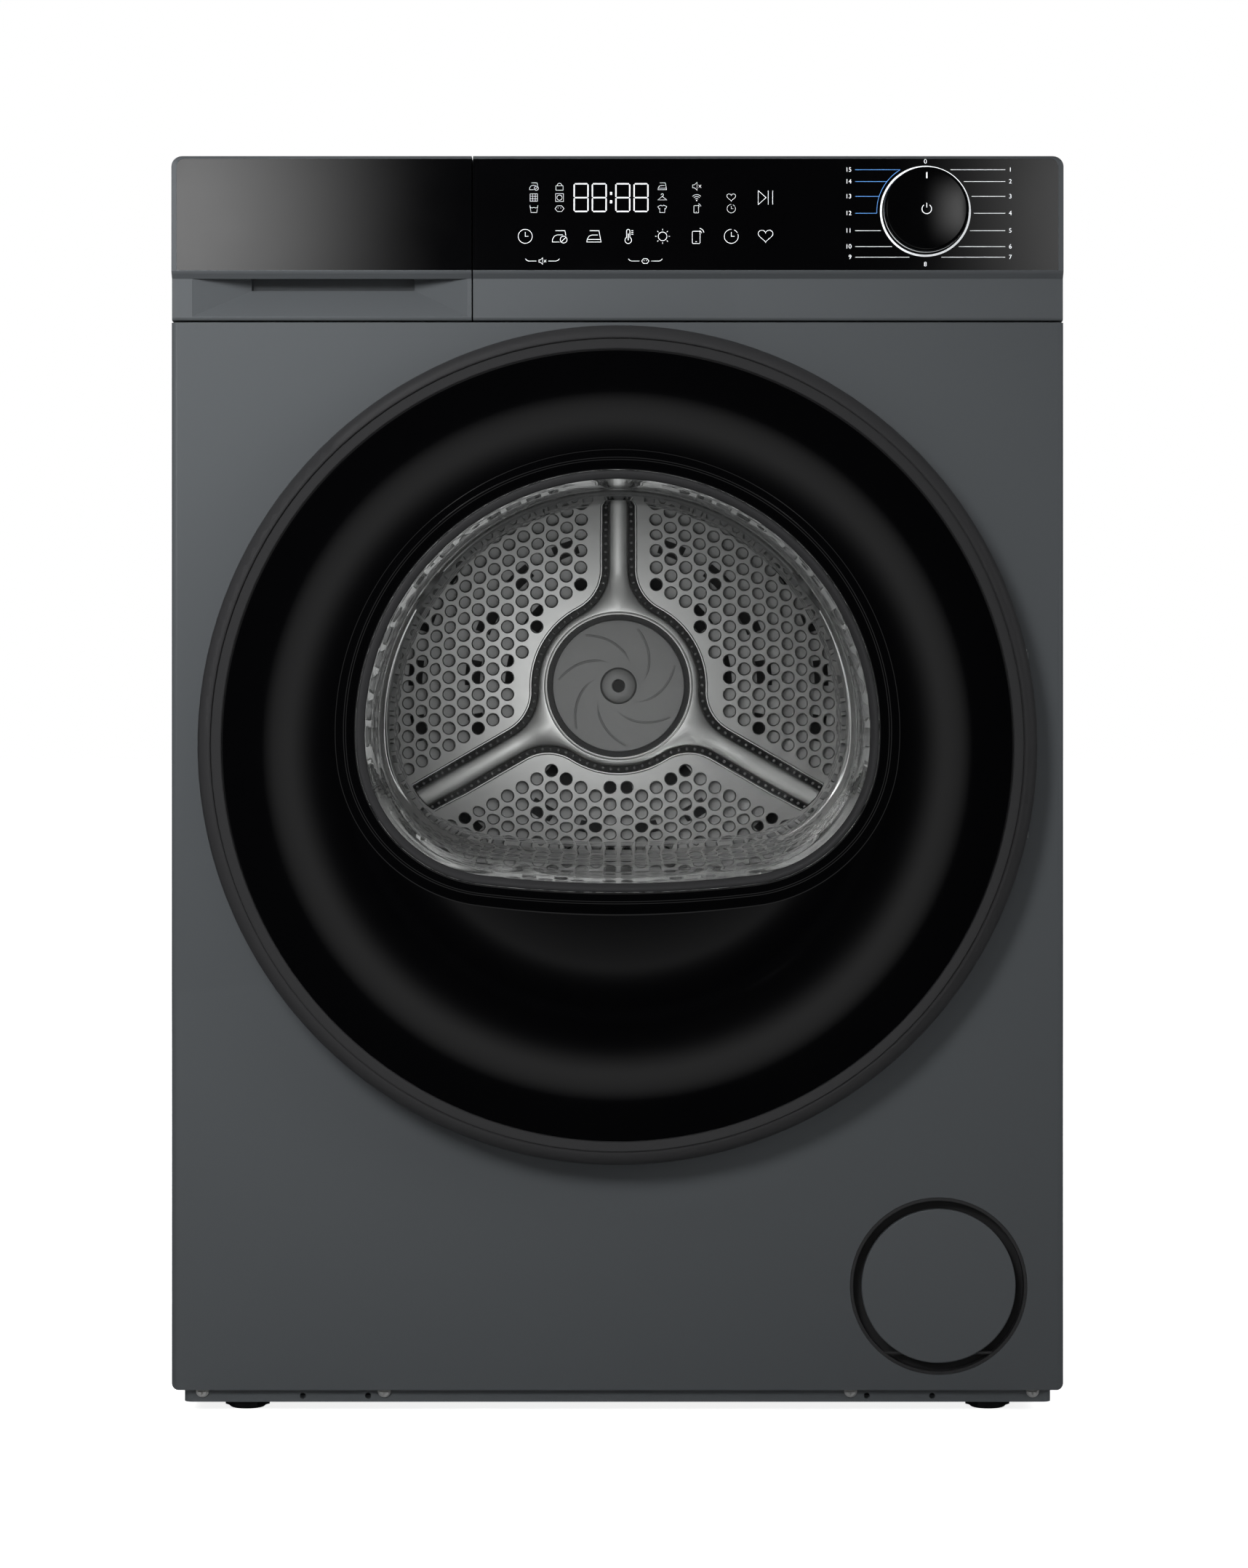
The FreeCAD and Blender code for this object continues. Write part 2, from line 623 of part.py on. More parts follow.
def make_drum_support():
    """The plate behind the front panel, with the mouth's collar and the ring that holds the felt."""
    margin, wall = dims["mouth_margin"], dims["mouth_wall"]
    low, high = dims["support_front"], dims["support_back"]
    plate = slab("y", (low, high), rectangle((-285, 285), (150, 758)), window_outline(margin))
    collar = slab("y", (front, low + 1), window_outline(margin + wall), window_outline(margin))
    ring = tube("y", dims["felt_radius"], dims["felt_radius"] - 4, (high - 1, high + 28), **drum)
    slot = box((-112.3, 112.3), (front + 4, low), (door_z - 140, door_z - 105))
    node(fuse(cut(collar, slot), plate, ring), "drum_support")


def make_felt_seal():
    outer = dims["drum_radius"] - dims["drum_sheet"] - 0.4
    low = dims["drum_front"] + 1
    node(tube("y", outer, dims["felt_radius"], (low, low + 9), **drum), "felt_seal")


def make_filter():
    low, high = front + 4.4, dims["support_front"] - 0.3
    case = cut(box((-112, 112), (low, high), (160, 326)), box((-109, 109), (low + 2, high - 2), (150, 327)))
    node(case, "filter_housing")
    x, y = (-108, 108), (low + 3, high - 3)
    frame = cut(box(x, y, (172, 323)), box((-104, 104), (low + 2, high - 2), (178, 250)))
    ribs = [box((place_x - 1.5, place_x + 1.5), y, (177, 251)) for place_x in (-52, 0, 52)]
    mesh = box((-105, 105), (low + 8, low + 9), (177, 251))
    pocket = box((-100, 100), (low + 6, high - 6), (262, 324))
    grip = box((-20, 20), (low + 6, low + 9), (300, 322))
    node(fuse(cut(frame, pocket), *ribs, mesh, grip), "lint_filter")


def make_drum_shell():
    outer, inner = dims["drum_radius"], dims["drum_radius"] - dims["drum_sheet"]
    low, high = dims["drum_front"], dims["drum_end"]
    node(tube("y", outer, inner, (low, high), **drum), "drum_shell")


def in_arm(x, z, margin):
    """True where a point of the drum's rear wall lies behind the spider or its hub."""
    reach = math.hypot(x, z)
    if reach < dims["hub_radius"].value + 13 + margin:
        return True
    for angle in ARM_ANGLES:
        along = x * math.cos(math.radians(angle)) + z * math.sin(math.radians(angle))
        across = abs(z * math.cos(math.radians(angle)) - x * math.sin(math.radians(angle)))
        if 0 < along < dims["arm_reach"].value + margin and across < dims["arm_width"].value / 2 + margin:
            return True
    return False


def make_drum_wall():
    """The perforated rear wall: staggered columns of round holes, left plain behind the spider."""
    outer = dims["drum_radius"].value - dims["drum_sheet"].value - 0.1
    pitch, hole = dims["hole_pitch"].value, dims["hole_radius"].value
    axis = FreeCAD.Vector(0, 1, 0)
    wires = []
    for column in range(int(outer / pitch * 2)):
        for row in range(-int(outer / pitch) - 1, int(outer / pitch) + 2):
            x = pitch * (0.5 + column * math.sqrt(3) / 2)
            z = pitch * (row + 0.5 * (column % 2))
            for side in (x, -x):
                if not in_arm(side, z, hole + 2) and math.hypot(x, z) < outer - 2.5 * pitch:
                    wires.append(Part.Wire(Part.makeCircle(hole, FreeCAD.Vector(side, 0, z), axis)))
    rim = Part.Wire(Part.makeCircle(outer, FreeCAD.Vector(0, 0, 0), axis))
    centre = Part.Wire(Part.makeCircle(dims["shaft_radius"].value, FreeCAD.Vector(0, 0, 0), axis))
    face = Part.Face([rim, centre] + wires, "Part::FaceMakerBullseye")
    wall = document.addObject("Part::Feature", "PerforatedWall")
    wall.Shape = face.extrude(FreeCAD.Vector(0, 1.2, 0))
    place(wall, y=dims["drum_wall"], z=drum_z)
    node(wall, "drum_wall")


def turned_to(item, angle):
    """Turn a piece made round the drum's axis, from straight up to another angle."""
    pivot = FreeCAD.Vector(0, 0, drum_z.value)
    lean = FreeCAD.Rotation(FreeCAD.Vector(0, 1, 0), 90 - angle)
    spin = FreeCAD.Placement(FreeCAD.Vector(0, 0, 0), lean, pivot)
    turned_copy = document.addObject("Part::Compound", "Turned")
    turned_copy.Links = [item]
    turned_copy.Placement = spin
    return turned_copy


def make_spider():
    """Three radial arms, each a raised bar between two grooves, on a ring that carries the shaft."""
    wall, hub, half = dims["drum_wall"], dims["hub_radius"], dims["arm_width"] / 2
    arms = []
    reach, foot, bar_foot = drum_z + dims["arm_reach"], drum_z + 40, drum_z + hub - 2
    bar_half, bar_tip = 5.6, reach - 16
    for angle in ARM_ANGLES:
        arm = slab("y", (wall - 3, wall),
                   [(-half, foot), (half, foot), (half, reach - half, half), (-half, reach - half)])
        bar = slab("y", (wall - 8, wall - 3),
                   [(-bar_half, bar_foot), (bar_half, bar_foot), (bar_half, bar_tip, bar_half),
                    (-bar_half, bar_tip)])
        arms.append(turned_to(fuse(arm, bar), angle))
    ring = turned("y", [(0, -5), (hub - 5, -5), (hub - 3, -9), (hub, -9), (hub + 11, -3), (hub + 11, 0),
                        (dims["shaft_radius"], 0), (dims["shaft_radius"], 42), (0, 42)], y=wall, z=drum_z)
    node(fuse(ring, *arms), "drum_spider")


def make_hub_cap():
    wall = dims["drum_wall"]
    node(turned("y", [(4.7, -10), (13, -10), (15, -8), (50, -8.4), (53, -7), (53, -5.1), (4.7, -5.1)],
                y=wall, z=drum_z), "drum_hub_cap")


def make_lifters():
    inner = dims["drum_radius"] - dims["drum_sheet"]
    lifters = []
    foot, top = drum_z + inner - 3, drum_z + inner - 48
    section = [(-34, foot), (-14, top + 8, 12), (-4, top), (4, top, 12), (14, top + 8), (34, foot)]
    for angle in LIFTER_ANGLES:
        bar = slab("y", (-212, 246), section)
        lifters.append(turned_to(bar, angle))
    node(fuse(*lifters), "drum_lifters")


def make_rear_bearing():
    bore = dims["shaft_radius"] + 0.05
    back = rear - sheet
    profile = [(bore, back - 14), (20, back - 14), (20, back - 4), (42, back - 4), (42, back), (22, back),
               (22, back + 15), (bore, back + 15)]
    node(turned("y", profile, z=drum_z), "rear_bearing")


def make_rear_duct():
    """The cover on the back that leads the air up from the fan to the drum, with ring grooves in its face."""
    wall, back, outer = dims["duct_wall"], dims["rear_limit"], dims["duct_radius"]

    def shape(inset):
        riser_x = (dims["duct_left"] + inset, outer - inset)
        riser = box(riser_x, (rear, back - inset), (dims["duct_low"] + inset, drum_z))
        return fuse(rod("y", outer - inset, (rear, back - inset), **drum), riser)
    grooves = [tube("y", radius + 4, radius - 4, (back - 0.8, back + 1), **drum) for radius in (70, 120, 170)]
    node(cut(shape(as_size(0)), shape(wall), *grooves), "rear_air_duct")


# ---------------------------------------------------------------- drive, heat pump and water

def make_belt():
    """A flat belt round the drum and the motor's pulley, along the two outside tangents."""
    gap, thick = 0.5, 2.5
    big, small = dims["drum_radius"].value + gap, 10 + gap
    far = FreeCAD.Vector(dims["motor_x"].value, 0, dims["motor_z"].value)
    near = FreeCAD.Vector(0, 0, drum_z.value)

    def loop(extra):
        line = far - near
        heading = math.atan2(line.z, line.x)
        lean = math.acos((big - small) / line.Length)
        points = []
        for centre, radius, side in ((near, big, 1), (far, small, 1), (far, small, -1), (near, big, -1)):
            angle = heading + side * lean
            points.append(centre + FreeCAD.Vector(math.cos(angle), 0, math.sin(angle)) * (radius + extra))
        outward = line.normalize()
        tip, crown = far + outward * (small + extra), near - outward * (big + extra)
        return Part.Wire([Part.LineSegment(points[0], points[1]).toShape(),
                          Part.Arc(points[1], tip, points[2]).toShape(),
                          Part.LineSegment(points[2], points[3]).toShape(),
                          Part.Arc(points[3], crown, points[0]).toShape()])
    width = dims["belt_back"].value - dims["belt_front"].value
    band = Part.Face([loop(thick), loop(0)], "Part::FaceMakerBullseye").extrude(FreeCAD.Vector(0, width, 0))
    belt = document.addObject("Part::Feature", "Belt")
    belt.Shape = band
    place(belt, y=dims["belt_front"])
    node(belt, "drive_belt")


def make_motor():
    can = rod("y", dims["motor_radius"], (-30, 110), **motor)
    foot = box((dims["motor_x"] - 50, dims["motor_x"] + 50), (-10, 90), (11, 62))
    node(cut(fuse(can, foot), rod("y", 6.05, (-40, 120), **motor)), "motor_housing")
    shaft, groove, rim = 6, 10, 13
    pulley = turned("y", [(shaft, -66), (rim, -66), (rim, -62), (groove, -61.5), (groove, -48.5), (rim, -48),
                          (rim, -44), (shaft, -44)], **motor)
    node(fuse(rod("y", shaft, (-72, 188), **motor), pulley), "motor_rotor")
    wheel = turned("y", [(shaft, 140), (72, 140), (72, 143), (20, 150), (20, 184), (shaft, 184)], **motor)
    blades = []
    for turn in range(12):
        angle = math.radians(30 * turn)
        x, z = dims["motor_x"] + 62 * math.cos(angle), dims["motor_z"] + 62 * math.sin(angle)
        blades.append(rod("y", 4, (140, 182), x=x, z=z))
    node(fuse(wheel, *blades), "blower_wheel")


def make_blower_housing():
    profile = [(45, 125), (84, 125), (84, 200), (50, 200), (50, 284.4), (47, 284.4), (47, 197), (81, 197),
               (81, 128), (45, 128)]
    node(turned("y", profile, **motor), "blower_housing")


def make_coil(label, low_y, high_y, low_z, high_z):
    plates = [box((x, x + 2.4), (low_y, high_y), (low_z, high_z)) for x in range(-262, -60, 12)]
    tubes = [rod("x", 4, (-268, -54), y=low_y + (high_y - low_y) * part, z=low_z + (high_z - low_z) * level)
             for part in (0.25, 0.75) for level in (0.15, 0.38, 0.62, 0.85)]
    node(fuse(*plates, *tubes), label)


def make_compressor():
    place_at = {"x": dims["compressor_x"], "y": dims["compressor_y"]}
    radius = dims["compressor_radius"]
    can = turned("z", [(0, 34), (radius - 14, 34, 14), (radius, 48), (radius, 176, 26), (radius - 26, 202),
                       (0, 202)], **place_at)
    feet = []
    for turn in range(3):
        angle = math.radians(120 * turn + 90)
        spot = {"x": dims["compressor_x"] + 58 * math.cos(angle),
                "y": dims["compressor_y"] + 58 * math.sin(angle)}
        feet += [rod("z", 16, (28, 38), **spot), rod("z", 11, (10.4, 28), **spot)]
    node(fuse(can, *feet), "compressor")


def make_refrigerant_pipe():
    """A copper tube from the compressor's top to the condenser, in straight runs and tangent arcs."""
    radius, bend, crest, entry = 4.5, 7, 212, 161.4
    x, y = dims["compressor_x"].value, dims["compressor_y"].value
    route = [(x, y, 202), (x, y, crest), (x, 30, crest), (-40, 30, crest), (-40, 30, entry),
             (-40, -18.7, entry), (-53.8, -18.7, entry)]
    points = [FreeCAD.Vector(*point) for point in route]
    edges, start = [], points[0]
    for before, corner, after in zip(points, points[1:], points[2:]):
        into, out = (corner - before).normalize(), (after - corner).normalize()
        first, last = corner - into * bend, corner + out * bend
        middle = corner + (out - into) * (bend * (1 - math.sqrt(0.5)))
        if start.distanceToPoint(first) > 1e-6:
            edges.append(Part.LineSegment(start, first).toShape())
        edges.append(Part.Arc(first, middle, last).toShape())
        start = last
    edges.append(Part.LineSegment(start, points[-1]).toShape())
    ring = Part.Wire(Part.makeCircle(radius, points[0], FreeCAD.Vector(0, 0, 1)))
    pipe = document.addObject("Part::Feature", "Pipe")
    pipe.Shape = Part.Wire(edges).makePipeShell([ring], True, True)
    node(pipe, "refrigerant_pipe")


def make_sump():
    cup = turned("y", [(0, -180), (40, -180), (40, -262), (30, -262), (30, -230), (0, -230)], **flap)
    stand = box((dims["flap_x"] - 30, dims["flap_x"] + 30), (-225, -190), (10.4, 60))
    node(fuse(cup, stand), "drain_pump")
    head, seat, plug = 37, -262.3, 29.6
    cap = turned("y", [(0, seat - 4), (head, seat - 4), (head, seat), (plug, seat), (plug, -240), (0, -240)],
                 **flap)
    grip = box((dims["flap_x"] - 24, dims["flap_x"] + 24), (-276, -266),
               (dims["flap_z"] - 3, dims["flap_z"] + 3))
    node(fuse(cap, grip), "sump_plug")


# ---------------------------------------------------------------- service flap, feet and rear fittings

def make_service_flap():
    outer, back = dims["recess_radius"], front + 26
    profile = [(44, front + 11), (outer - 2, front + 11), (outer - 2, front), (outer, front), (outer, back),
               (outer - 2, back), (outer - 2, front + 13), (44, front + 13)]
    bezel = turned("y", profile, **flap)
    pivot_y, pivot_z, x = front + 2.5, 40, dims["flap_x"]
    pins = [rod("x", 1.2, span, y=pivot_y, z=pivot_z) for span in ((x - 37, x - 15), (x + 15, x + 37))]
    node(fuse(bezel, *pins), "service_bezel")
    radius = dims["flap_radius"]
    edge, thick = 0.8, 4.6
    cover = turned("y", [(0, front), (radius - edge, front, edge), (radius, front + edge),
                         (radius, front + thick), (0, front + thick)], **flap)
    holes = [rod("x", 1.25, span, y=pivot_y, z=pivot_z) for span in ((x - 40, x - 14), (x + 14, x + 40))]
    node(cut(cover, *holes), "service_flap")


def make_feet():
    for depth, sign_y in (("front", -1), ("rear", 1)):
        for side, sign_x in (("left", -1), ("right", 1)):
            x, y = sign_x * dims["foot_x"], sign_y * dims["foot_y"]
            pad = document.addObject("Part::Prism", "Pad")
            pad.Polygon = 6
            bind(pad, Circumradius=15, Height=4.4)
            place(pad, x, y, 1.8)
            base = turned("z", [(0, 0), (10, 0, 3), (12.6, 1.8), (0, 1.8)], x=x, y=y)
            stud = rod("z", dims["foot_stud"], (6.2, dims["foot_boss_top"] - 1), x=x, y=y)
            node(fuse(pad, base, stud), f"foot_{depth}_{side}")


def make_rear_fittings():
    x, spigot_z, gland_z, bore, flange = -250, 790, 60, 6.5, 3
    spout = tube("y", 9, bore, (rear, rear + 26), x=x, z=spigot_z)
    seat = tube("y", 16, bore, (rear, rear + flange), x=x, z=spigot_z)
    node(fuse(spout, seat), "drain_spigot")
    plate = slab("y", (rear, rear + flange + 1), rounded((x - 22, x + 22), (gland_z - 16, gland_z + 16), 5))
    nose = rod("y", 9, (rear, rear + 16), x=x, z=gland_z)
    node(cut(fuse(nose, plate), rod("y", 4.5, (rear - 1, rear + 17), x=x, z=gland_z)), "cable_gland")


def make_all():
    for make in (make_base_pan, make_panel_screws, make_front_panel, make_side_panels, make_rear_panel,
                 make_worktop, make_front_rail, make_control_fascia, make_selector, make_control_board,
                 make_drawer_front, make_tank, make_drawer_housing, make_door_ring, make_door_dish,
                 make_door_lip, make_door_bowl, make_door_frame, make_door_gasket, make_hinge,
                 make_door_lock, make_drum_support, make_felt_seal, make_filter, make_drum_shell,
                 make_drum_wall, make_spider,
                 make_hub_cap, make_lifters, make_rear_bearing, make_rear_duct, make_belt, make_motor,
                 make_blower_housing, make_compressor, make_refrigerant_pipe, make_sump,
                 make_service_flap, make_feet, make_rear_fittings):
        make()
    make_coil("evaporator_coil", -205, -130, 22, 186)
    make_coil("condenser_coil", -75, 0, 22, 186)


def check_and_export():
    """Stop on any failed object or shape, then write one file for each piece."""
    for item in document.Objects:
        if "Invalid" in item.State or "Error" in item.State:
            raise RuntimeError(f"{item.Name} did not compute: {item.State}")
    for item in nodes:
        if item.Shape.isNull() or not item.Shape.isValid() or not item.Shape.Solids:
            raise RuntimeError(f"{item.Label} has no valid solid")
    os.makedirs("parts", exist_ok=True)
    for item in nodes:
        item.Shape.exportStep(f"parts/{item.Label}.step")


make_all()
document.recompute()
check_and_export()
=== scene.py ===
import json
import math

import bmesh
import bpy
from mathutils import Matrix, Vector

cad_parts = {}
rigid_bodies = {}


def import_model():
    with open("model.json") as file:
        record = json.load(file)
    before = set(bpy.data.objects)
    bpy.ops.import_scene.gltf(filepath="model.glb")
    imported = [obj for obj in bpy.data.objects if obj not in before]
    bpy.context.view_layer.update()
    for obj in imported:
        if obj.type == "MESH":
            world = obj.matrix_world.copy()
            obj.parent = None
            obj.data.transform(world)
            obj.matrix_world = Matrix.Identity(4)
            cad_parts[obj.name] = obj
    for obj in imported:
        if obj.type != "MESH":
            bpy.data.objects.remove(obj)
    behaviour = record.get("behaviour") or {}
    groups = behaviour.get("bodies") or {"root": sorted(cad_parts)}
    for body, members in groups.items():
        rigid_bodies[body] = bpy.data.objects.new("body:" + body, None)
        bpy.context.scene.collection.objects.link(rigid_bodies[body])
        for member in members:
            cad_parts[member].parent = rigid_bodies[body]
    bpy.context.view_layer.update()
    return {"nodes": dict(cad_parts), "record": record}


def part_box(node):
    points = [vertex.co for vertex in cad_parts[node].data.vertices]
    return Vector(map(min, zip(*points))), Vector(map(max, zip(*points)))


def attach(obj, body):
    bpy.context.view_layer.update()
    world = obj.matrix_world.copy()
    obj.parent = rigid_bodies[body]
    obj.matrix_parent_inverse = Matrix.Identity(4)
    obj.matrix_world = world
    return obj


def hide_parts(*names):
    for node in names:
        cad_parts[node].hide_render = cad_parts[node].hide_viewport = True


# The looks of a front-loading tumble dryer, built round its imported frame. Metres, +Z up, front to -Y.

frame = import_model()
nodes = frame["nodes"]
scene = bpy.context.scene

MM = 0.001
LOOP_POINTS = 288
LOOP_ANGLES = [-math.pi + 2 * math.pi * (index + 0.5) / LOOP_POINTS for index in range(LOOP_POINTS)]


def middle(name):
    low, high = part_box(name)
    return (low + high) / 2


door_middle = middle("door_ring")
drum_middle = middle("drum_shell")
knob_middle = middle("selector_knob")
front_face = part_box("front_panel")[0].y
panel_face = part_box("fascia_glass")[0].y
wall_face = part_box("drum_wall")[0].y


# ---------------------------------------------------------------- materials

def feed(tree, item, values):
    """Set each input of a shader node to a value, or join it to another node's socket."""
    for name, value in values.items():
        if isinstance(value, bpy.types.NodeSocket):
            tree.links.new(value, item.inputs[name])
        else:
            item.inputs[name].default_value = value


def add_node(tree, kind, values=None, **settings):
    item = tree.nodes.new("ShaderNode" + kind)
    for name, value in settings.items():
        setattr(item, name, value)
    feed(tree, item, values or {})
    return item


def material(name, colour, rough, metal=0.0, fleck=0.0, fleck_scale=300.0, bump=0.0, bump_scale=900.0,
             rough_spread=0.06, stretch=(1, 1, 1), **extra):
    """A surface whose tone, roughness and grain vary a little, as on a real moulded or painted part."""
    item = bpy.data.materials.new(name)
    item.use_nodes = True
    tree = item.node_tree
    shader = tree.nodes["Principled BSDF"]
    place = add_node(tree, "TexCoord").outputs["Object"]
    grid = add_node(tree, "Mapping", {"Vector": place, "Scale": stretch}).outputs["Vector"]
    broad = add_node(tree, "TexNoise", {"Vector": grid, "Scale": fleck_scale, "Detail": 3.0}).outputs["Fac"]
    tone = add_node(tree, "MapRange", {"Value": broad, "To Min": 1 - fleck, "To Max": 1 + fleck})
    tint = add_node(tree, "Mix", {"Factor": 1.0, "A": (*colour, 1), "B": tone.outputs["Result"]},
                    data_type="RGBA", blend_type="MULTIPLY")
    wear = add_node(tree, "MapRange", {"Value": broad, "To Min": max(rough - rough_spread, 0),
                                       "To Max": rough + rough_spread})
    feed(tree, shader, {"Metallic": metal, "Base Color": tint.outputs["Result"],
                        "Roughness": wear.outputs["Result"], **extra})
    if bump:
        grain = add_node(tree, "TexNoise", {"Vector": grid, "Scale": bump_scale, "Detail": 2.0})
        relief = add_node(tree, "Bump", {"Strength": 0.5, "Distance": bump, "Height": grain.outputs["Fac"]})
        feed(tree, shader, {"Normal": relief.outputs["Normal"]})
    return item


def glowing(name, colour, strength):
    return material(name, colour, 0.4, **{"Emission Color": (*colour, 1), "Emission Strength": strength})


def wall_backing():
    """A metal sheet round the drum's axis, with rings of near-black painted shade where it would have holes
    onto the dark behind.
    """
    item = material("wall_backing", (0.36, 0.36, 0.36), 0.5, 0.9, 0.06, 60, 0.00003)
    tree = item.node_tree
    shader = tree.nodes["Principled BSDF"]
    metal_colour = shader.inputs["Base Color"].links[0].from_socket
    place = add_node(tree, "TexCoord").outputs["Object"]
    axis = (drum_middle.x, 0, drum_middle.z)
    shift = add_node(tree, "VectorMath", {0: place, 1: axis}, operation="SUBTRACT")
    split = add_node(tree, "SeparateXYZ", {"Vector": shift.outputs["Vector"]})

    def maths(operation, *values):
        return add_node(tree, "Math", dict(enumerate(values)), operation=operation).outputs["Value"]

    x, z = split.outputs["X"], split.outputs["Z"]
    radius = maths("SQRT", maths("ADD", maths("MULTIPLY", x, x), maths("MULTIPLY", z, z)))
    angle = maths("ARCTAN2", z, x)
    opening_shade = 0.0
    for ring_radius, half_width, count in ((0.084, 0.007, 11), (0.117, 0.006, 17), (0.165, 0.006, 23)):
        near = maths("LESS_THAN", maths("ABSOLUTE", maths("SUBTRACT", radius, ring_radius)), half_width)
        wave = maths("GREATER_THAN", maths("SINE", maths("MULTIPLY", angle, count)), 0.1)
        opening_shade = maths("MAXIMUM", opening_shade, maths("MULTIPLY", near, wave))
    # Inside the rings the colour turns near-black: painted shade, not real holes.
    blend = add_node(tree, "Mix", {"Factor": opening_shade, "A": metal_colour, "B": (0.008, 0.008, 0.008, 1)},
                     data_type="RGBA")
    feed(tree, shader, {"Base Color": blend.outputs["Result"]})
    return item


def make_materials():
    """Every look: colour, roughness, metal, fleck and its scale, bump and its scale, and anything else."""
    made = {}

    def add(name, *values, **extra):
        made[name] = material(name, *values, **extra)

    paint = {"Coat Weight": 0.15, "Coat Roughness": 0.3}
    add("painted_steel", (0.085, 0.092, 0.098), 0.42, 0.25, 0.05, 2500, 0.00002, 1800, **paint)
    add("fascia_plastic", (0.088, 0.095, 0.101), 0.4, 0.2, 0.05, 2500, 0.00002, 1800, **paint)
    add("galvanised_steel", (0.48, 0.49, 0.5), 0.38, 0.9, 0.12, 60, 0.00003, 200)
    add("base_plastic", (0.075, 0.082, 0.088), 0.5, 0, 0.08, 900, 0.00004, 1500)
    add("worktop_laminate", (0.085, 0.09, 0.096), 0.48, 0, 0.08, 700, 0.00004, 900)
    add("gloss_black", (0.0008, 0.0008, 0.001), 0.06, 0, 0.1, 40, rough_spread=0.015)
    add("satin_black", (0.024, 0.024, 0.025), 0.42, 0, 0.08, 900, 0.00003, 1600)
    made["dial_white"] = glowing("dial_white", (0.8, 0.82, 0.84), 0.55)
    made["panel_blue"] = glowing("panel_blue", (0.12, 0.33, 0.75), 0.5)
    add("bright_steel", (0.6, 0.6, 0.59), 0.34, 0.6, 0.06, 300, 0.00002, 700)
    add("rubber_black", (0.018, 0.018, 0.019), 0.7, 0, 0.15, 500, 0.00005, 1200)
    add("felt_grey", (0.22, 0.215, 0.2), 0.95, 0, 0.3, 1500, 0.0003, 1400)
    # Three copies of one stainless steel: the drum's own, a lighter one on the spider as painted highlight,
    # and a near-black one in the spider's grooves as painted shade.
    for name, colour, rough in (("stainless", (0.56, 0.56, 0.555), 0.33),
                                ("arm_steel_painted_highlight", (0.86, 0.86, 0.85), 0.36),
                                ("groove_steel_painted_shade", (0.03, 0.03, 0.03), 0.35)):
        add(name, colour, rough, 1, 0.04, 120, 0.000008, 700, 0.04)
    add("drum_steel", (0.17, 0.17, 0.17), 0.2, 1, 0.04, 40, 0.000006, 160, 0.04, stretch=(1, 0.05, 1))
    add("hub_plastic", (0.27, 0.27, 0.27), 0.45, 0.6, 0.06, 500, 0.00003, 1200)
    add("duct_plastic", (0.045, 0.046, 0.05), 0.5, 0, 0.08, 600, 0.00004, 1200)
    add("tank_plastic", (0.55, 0.57, 0.6), 0.4, 0, 0.05, 300, 0.00003, 600, **{"Transmission Weight": 0.35})
    add("fin_aluminium", (0.7, 0.71, 0.72), 0.35, 0.9, 0.06, 300)
    add("copper_pipe", (0.72, 0.36, 0.2), 0.28, 1, 0.12, 80)
    add("cast_aluminium", (0.5, 0.51, 0.52), 0.5, 0.85, 0.08, 400, 0.00006, 900)
    add("machine_black", (0.02, 0.02, 0.02), 0.38, 0, 0.1, 200, 0.00004, 500)
    add("foot_black", (0.012, 0.012, 0.013), 0.45, 0, 0.1, 500, 0.00003, 900)
    add("clear_glass", (0.97, 0.985, 0.98), 0.01, 0, 0.01, 40, rough_spread=0.005,
        **{"Transmission Weight": 1.0, "IOR": 1.47})
    made["wall_backing"] = wall_backing()
    return made


# ---------------------------------------------------------------- mesh helpers

def finish_piece(piece, body, look, replaced=()):
    piece.data.materials.clear()
    piece.data.materials.append(looks[look])
    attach(piece, body)
    if replaced:
        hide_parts(*replaced)
    return piece


def add_object(name, data):
    item = bpy.data.objects.new(name, data)
    scene.collection.objects.link(item)
    return item


def make_piece(name, verts, faces, smooth_angle=40):
    mesh = bpy.data.meshes.new(name)
    mesh.from_pydata([tuple(v) for v in verts], [], faces)
    mesh.validate()
    work = bmesh.new()
    work.from_mesh(mesh)
    bmesh.ops.remove_doubles(work, verts=work.verts, dist=1e-6)
    bmesh.ops.recalc_face_normals(work, faces=work.faces)
    work.to_mesh(mesh)
    work.free()
    piece = add_object(name, mesh)
    shade(piece, smooth_angle)
    return piece


def shade(piece, angle):
    """Smooth shading that keeps the edges sharper than the angle."""
    mesh = piece.data
    mesh.shade_smooth()
    work = bmesh.new()
    work.from_mesh(mesh)
    for edge in work.edges:
        if len(edge.link_faces) == 2:
            edge.smooth = edge.calc_face_angle() < math.radians(angle)
    work.to_mesh(mesh)
    work.free()


def face_front(piece):
    """Turn an open sheet so that its outside looks to the front."""
    if sum(face.normal.y * face.area for face in piece.data.polygons) > 0:
        piece.data.flip_normals()


def grid_faces(rows, columns, wrap_rows=False):
    """Quads between rows of points that each close on themselves."""
    faces = []
    for row in range(rows if wrap_rows else rows - 1):
        above = (row + 1) % rows
        for column in range(columns):
            beside = (column + 1) % columns
            faces.append((row * columns + column, row * columns + beside,
                          above * columns + beside, above * columns + column))
    return faces


def shifted(faces, first):
    """The same faces over a later run of points."""
    return [tuple(first + corner for corner in face) for face in faces]


def circle(radius, steps):
    """Points round a circle about the origin."""
    turns = [2 * math.pi * step / steps for step in range(steps)]
    return [(radius * math.cos(turn), radius * math.sin(turn)) for turn in turns]


def lathe(name, profile, centre, steps=192, smooth_angle=40):
    """A closed profile of (radius, y) points in millimetres turned about the Y axis through a centre."""
    verts = []
    for radius, y in profile:
        verts += [(centre.x + a * MM, y * MM, centre.z + b * MM) for a, b in circle(radius, steps)]
    return make_piece(name, verts, grid_faces(len(profile), steps, True), smooth_angle)


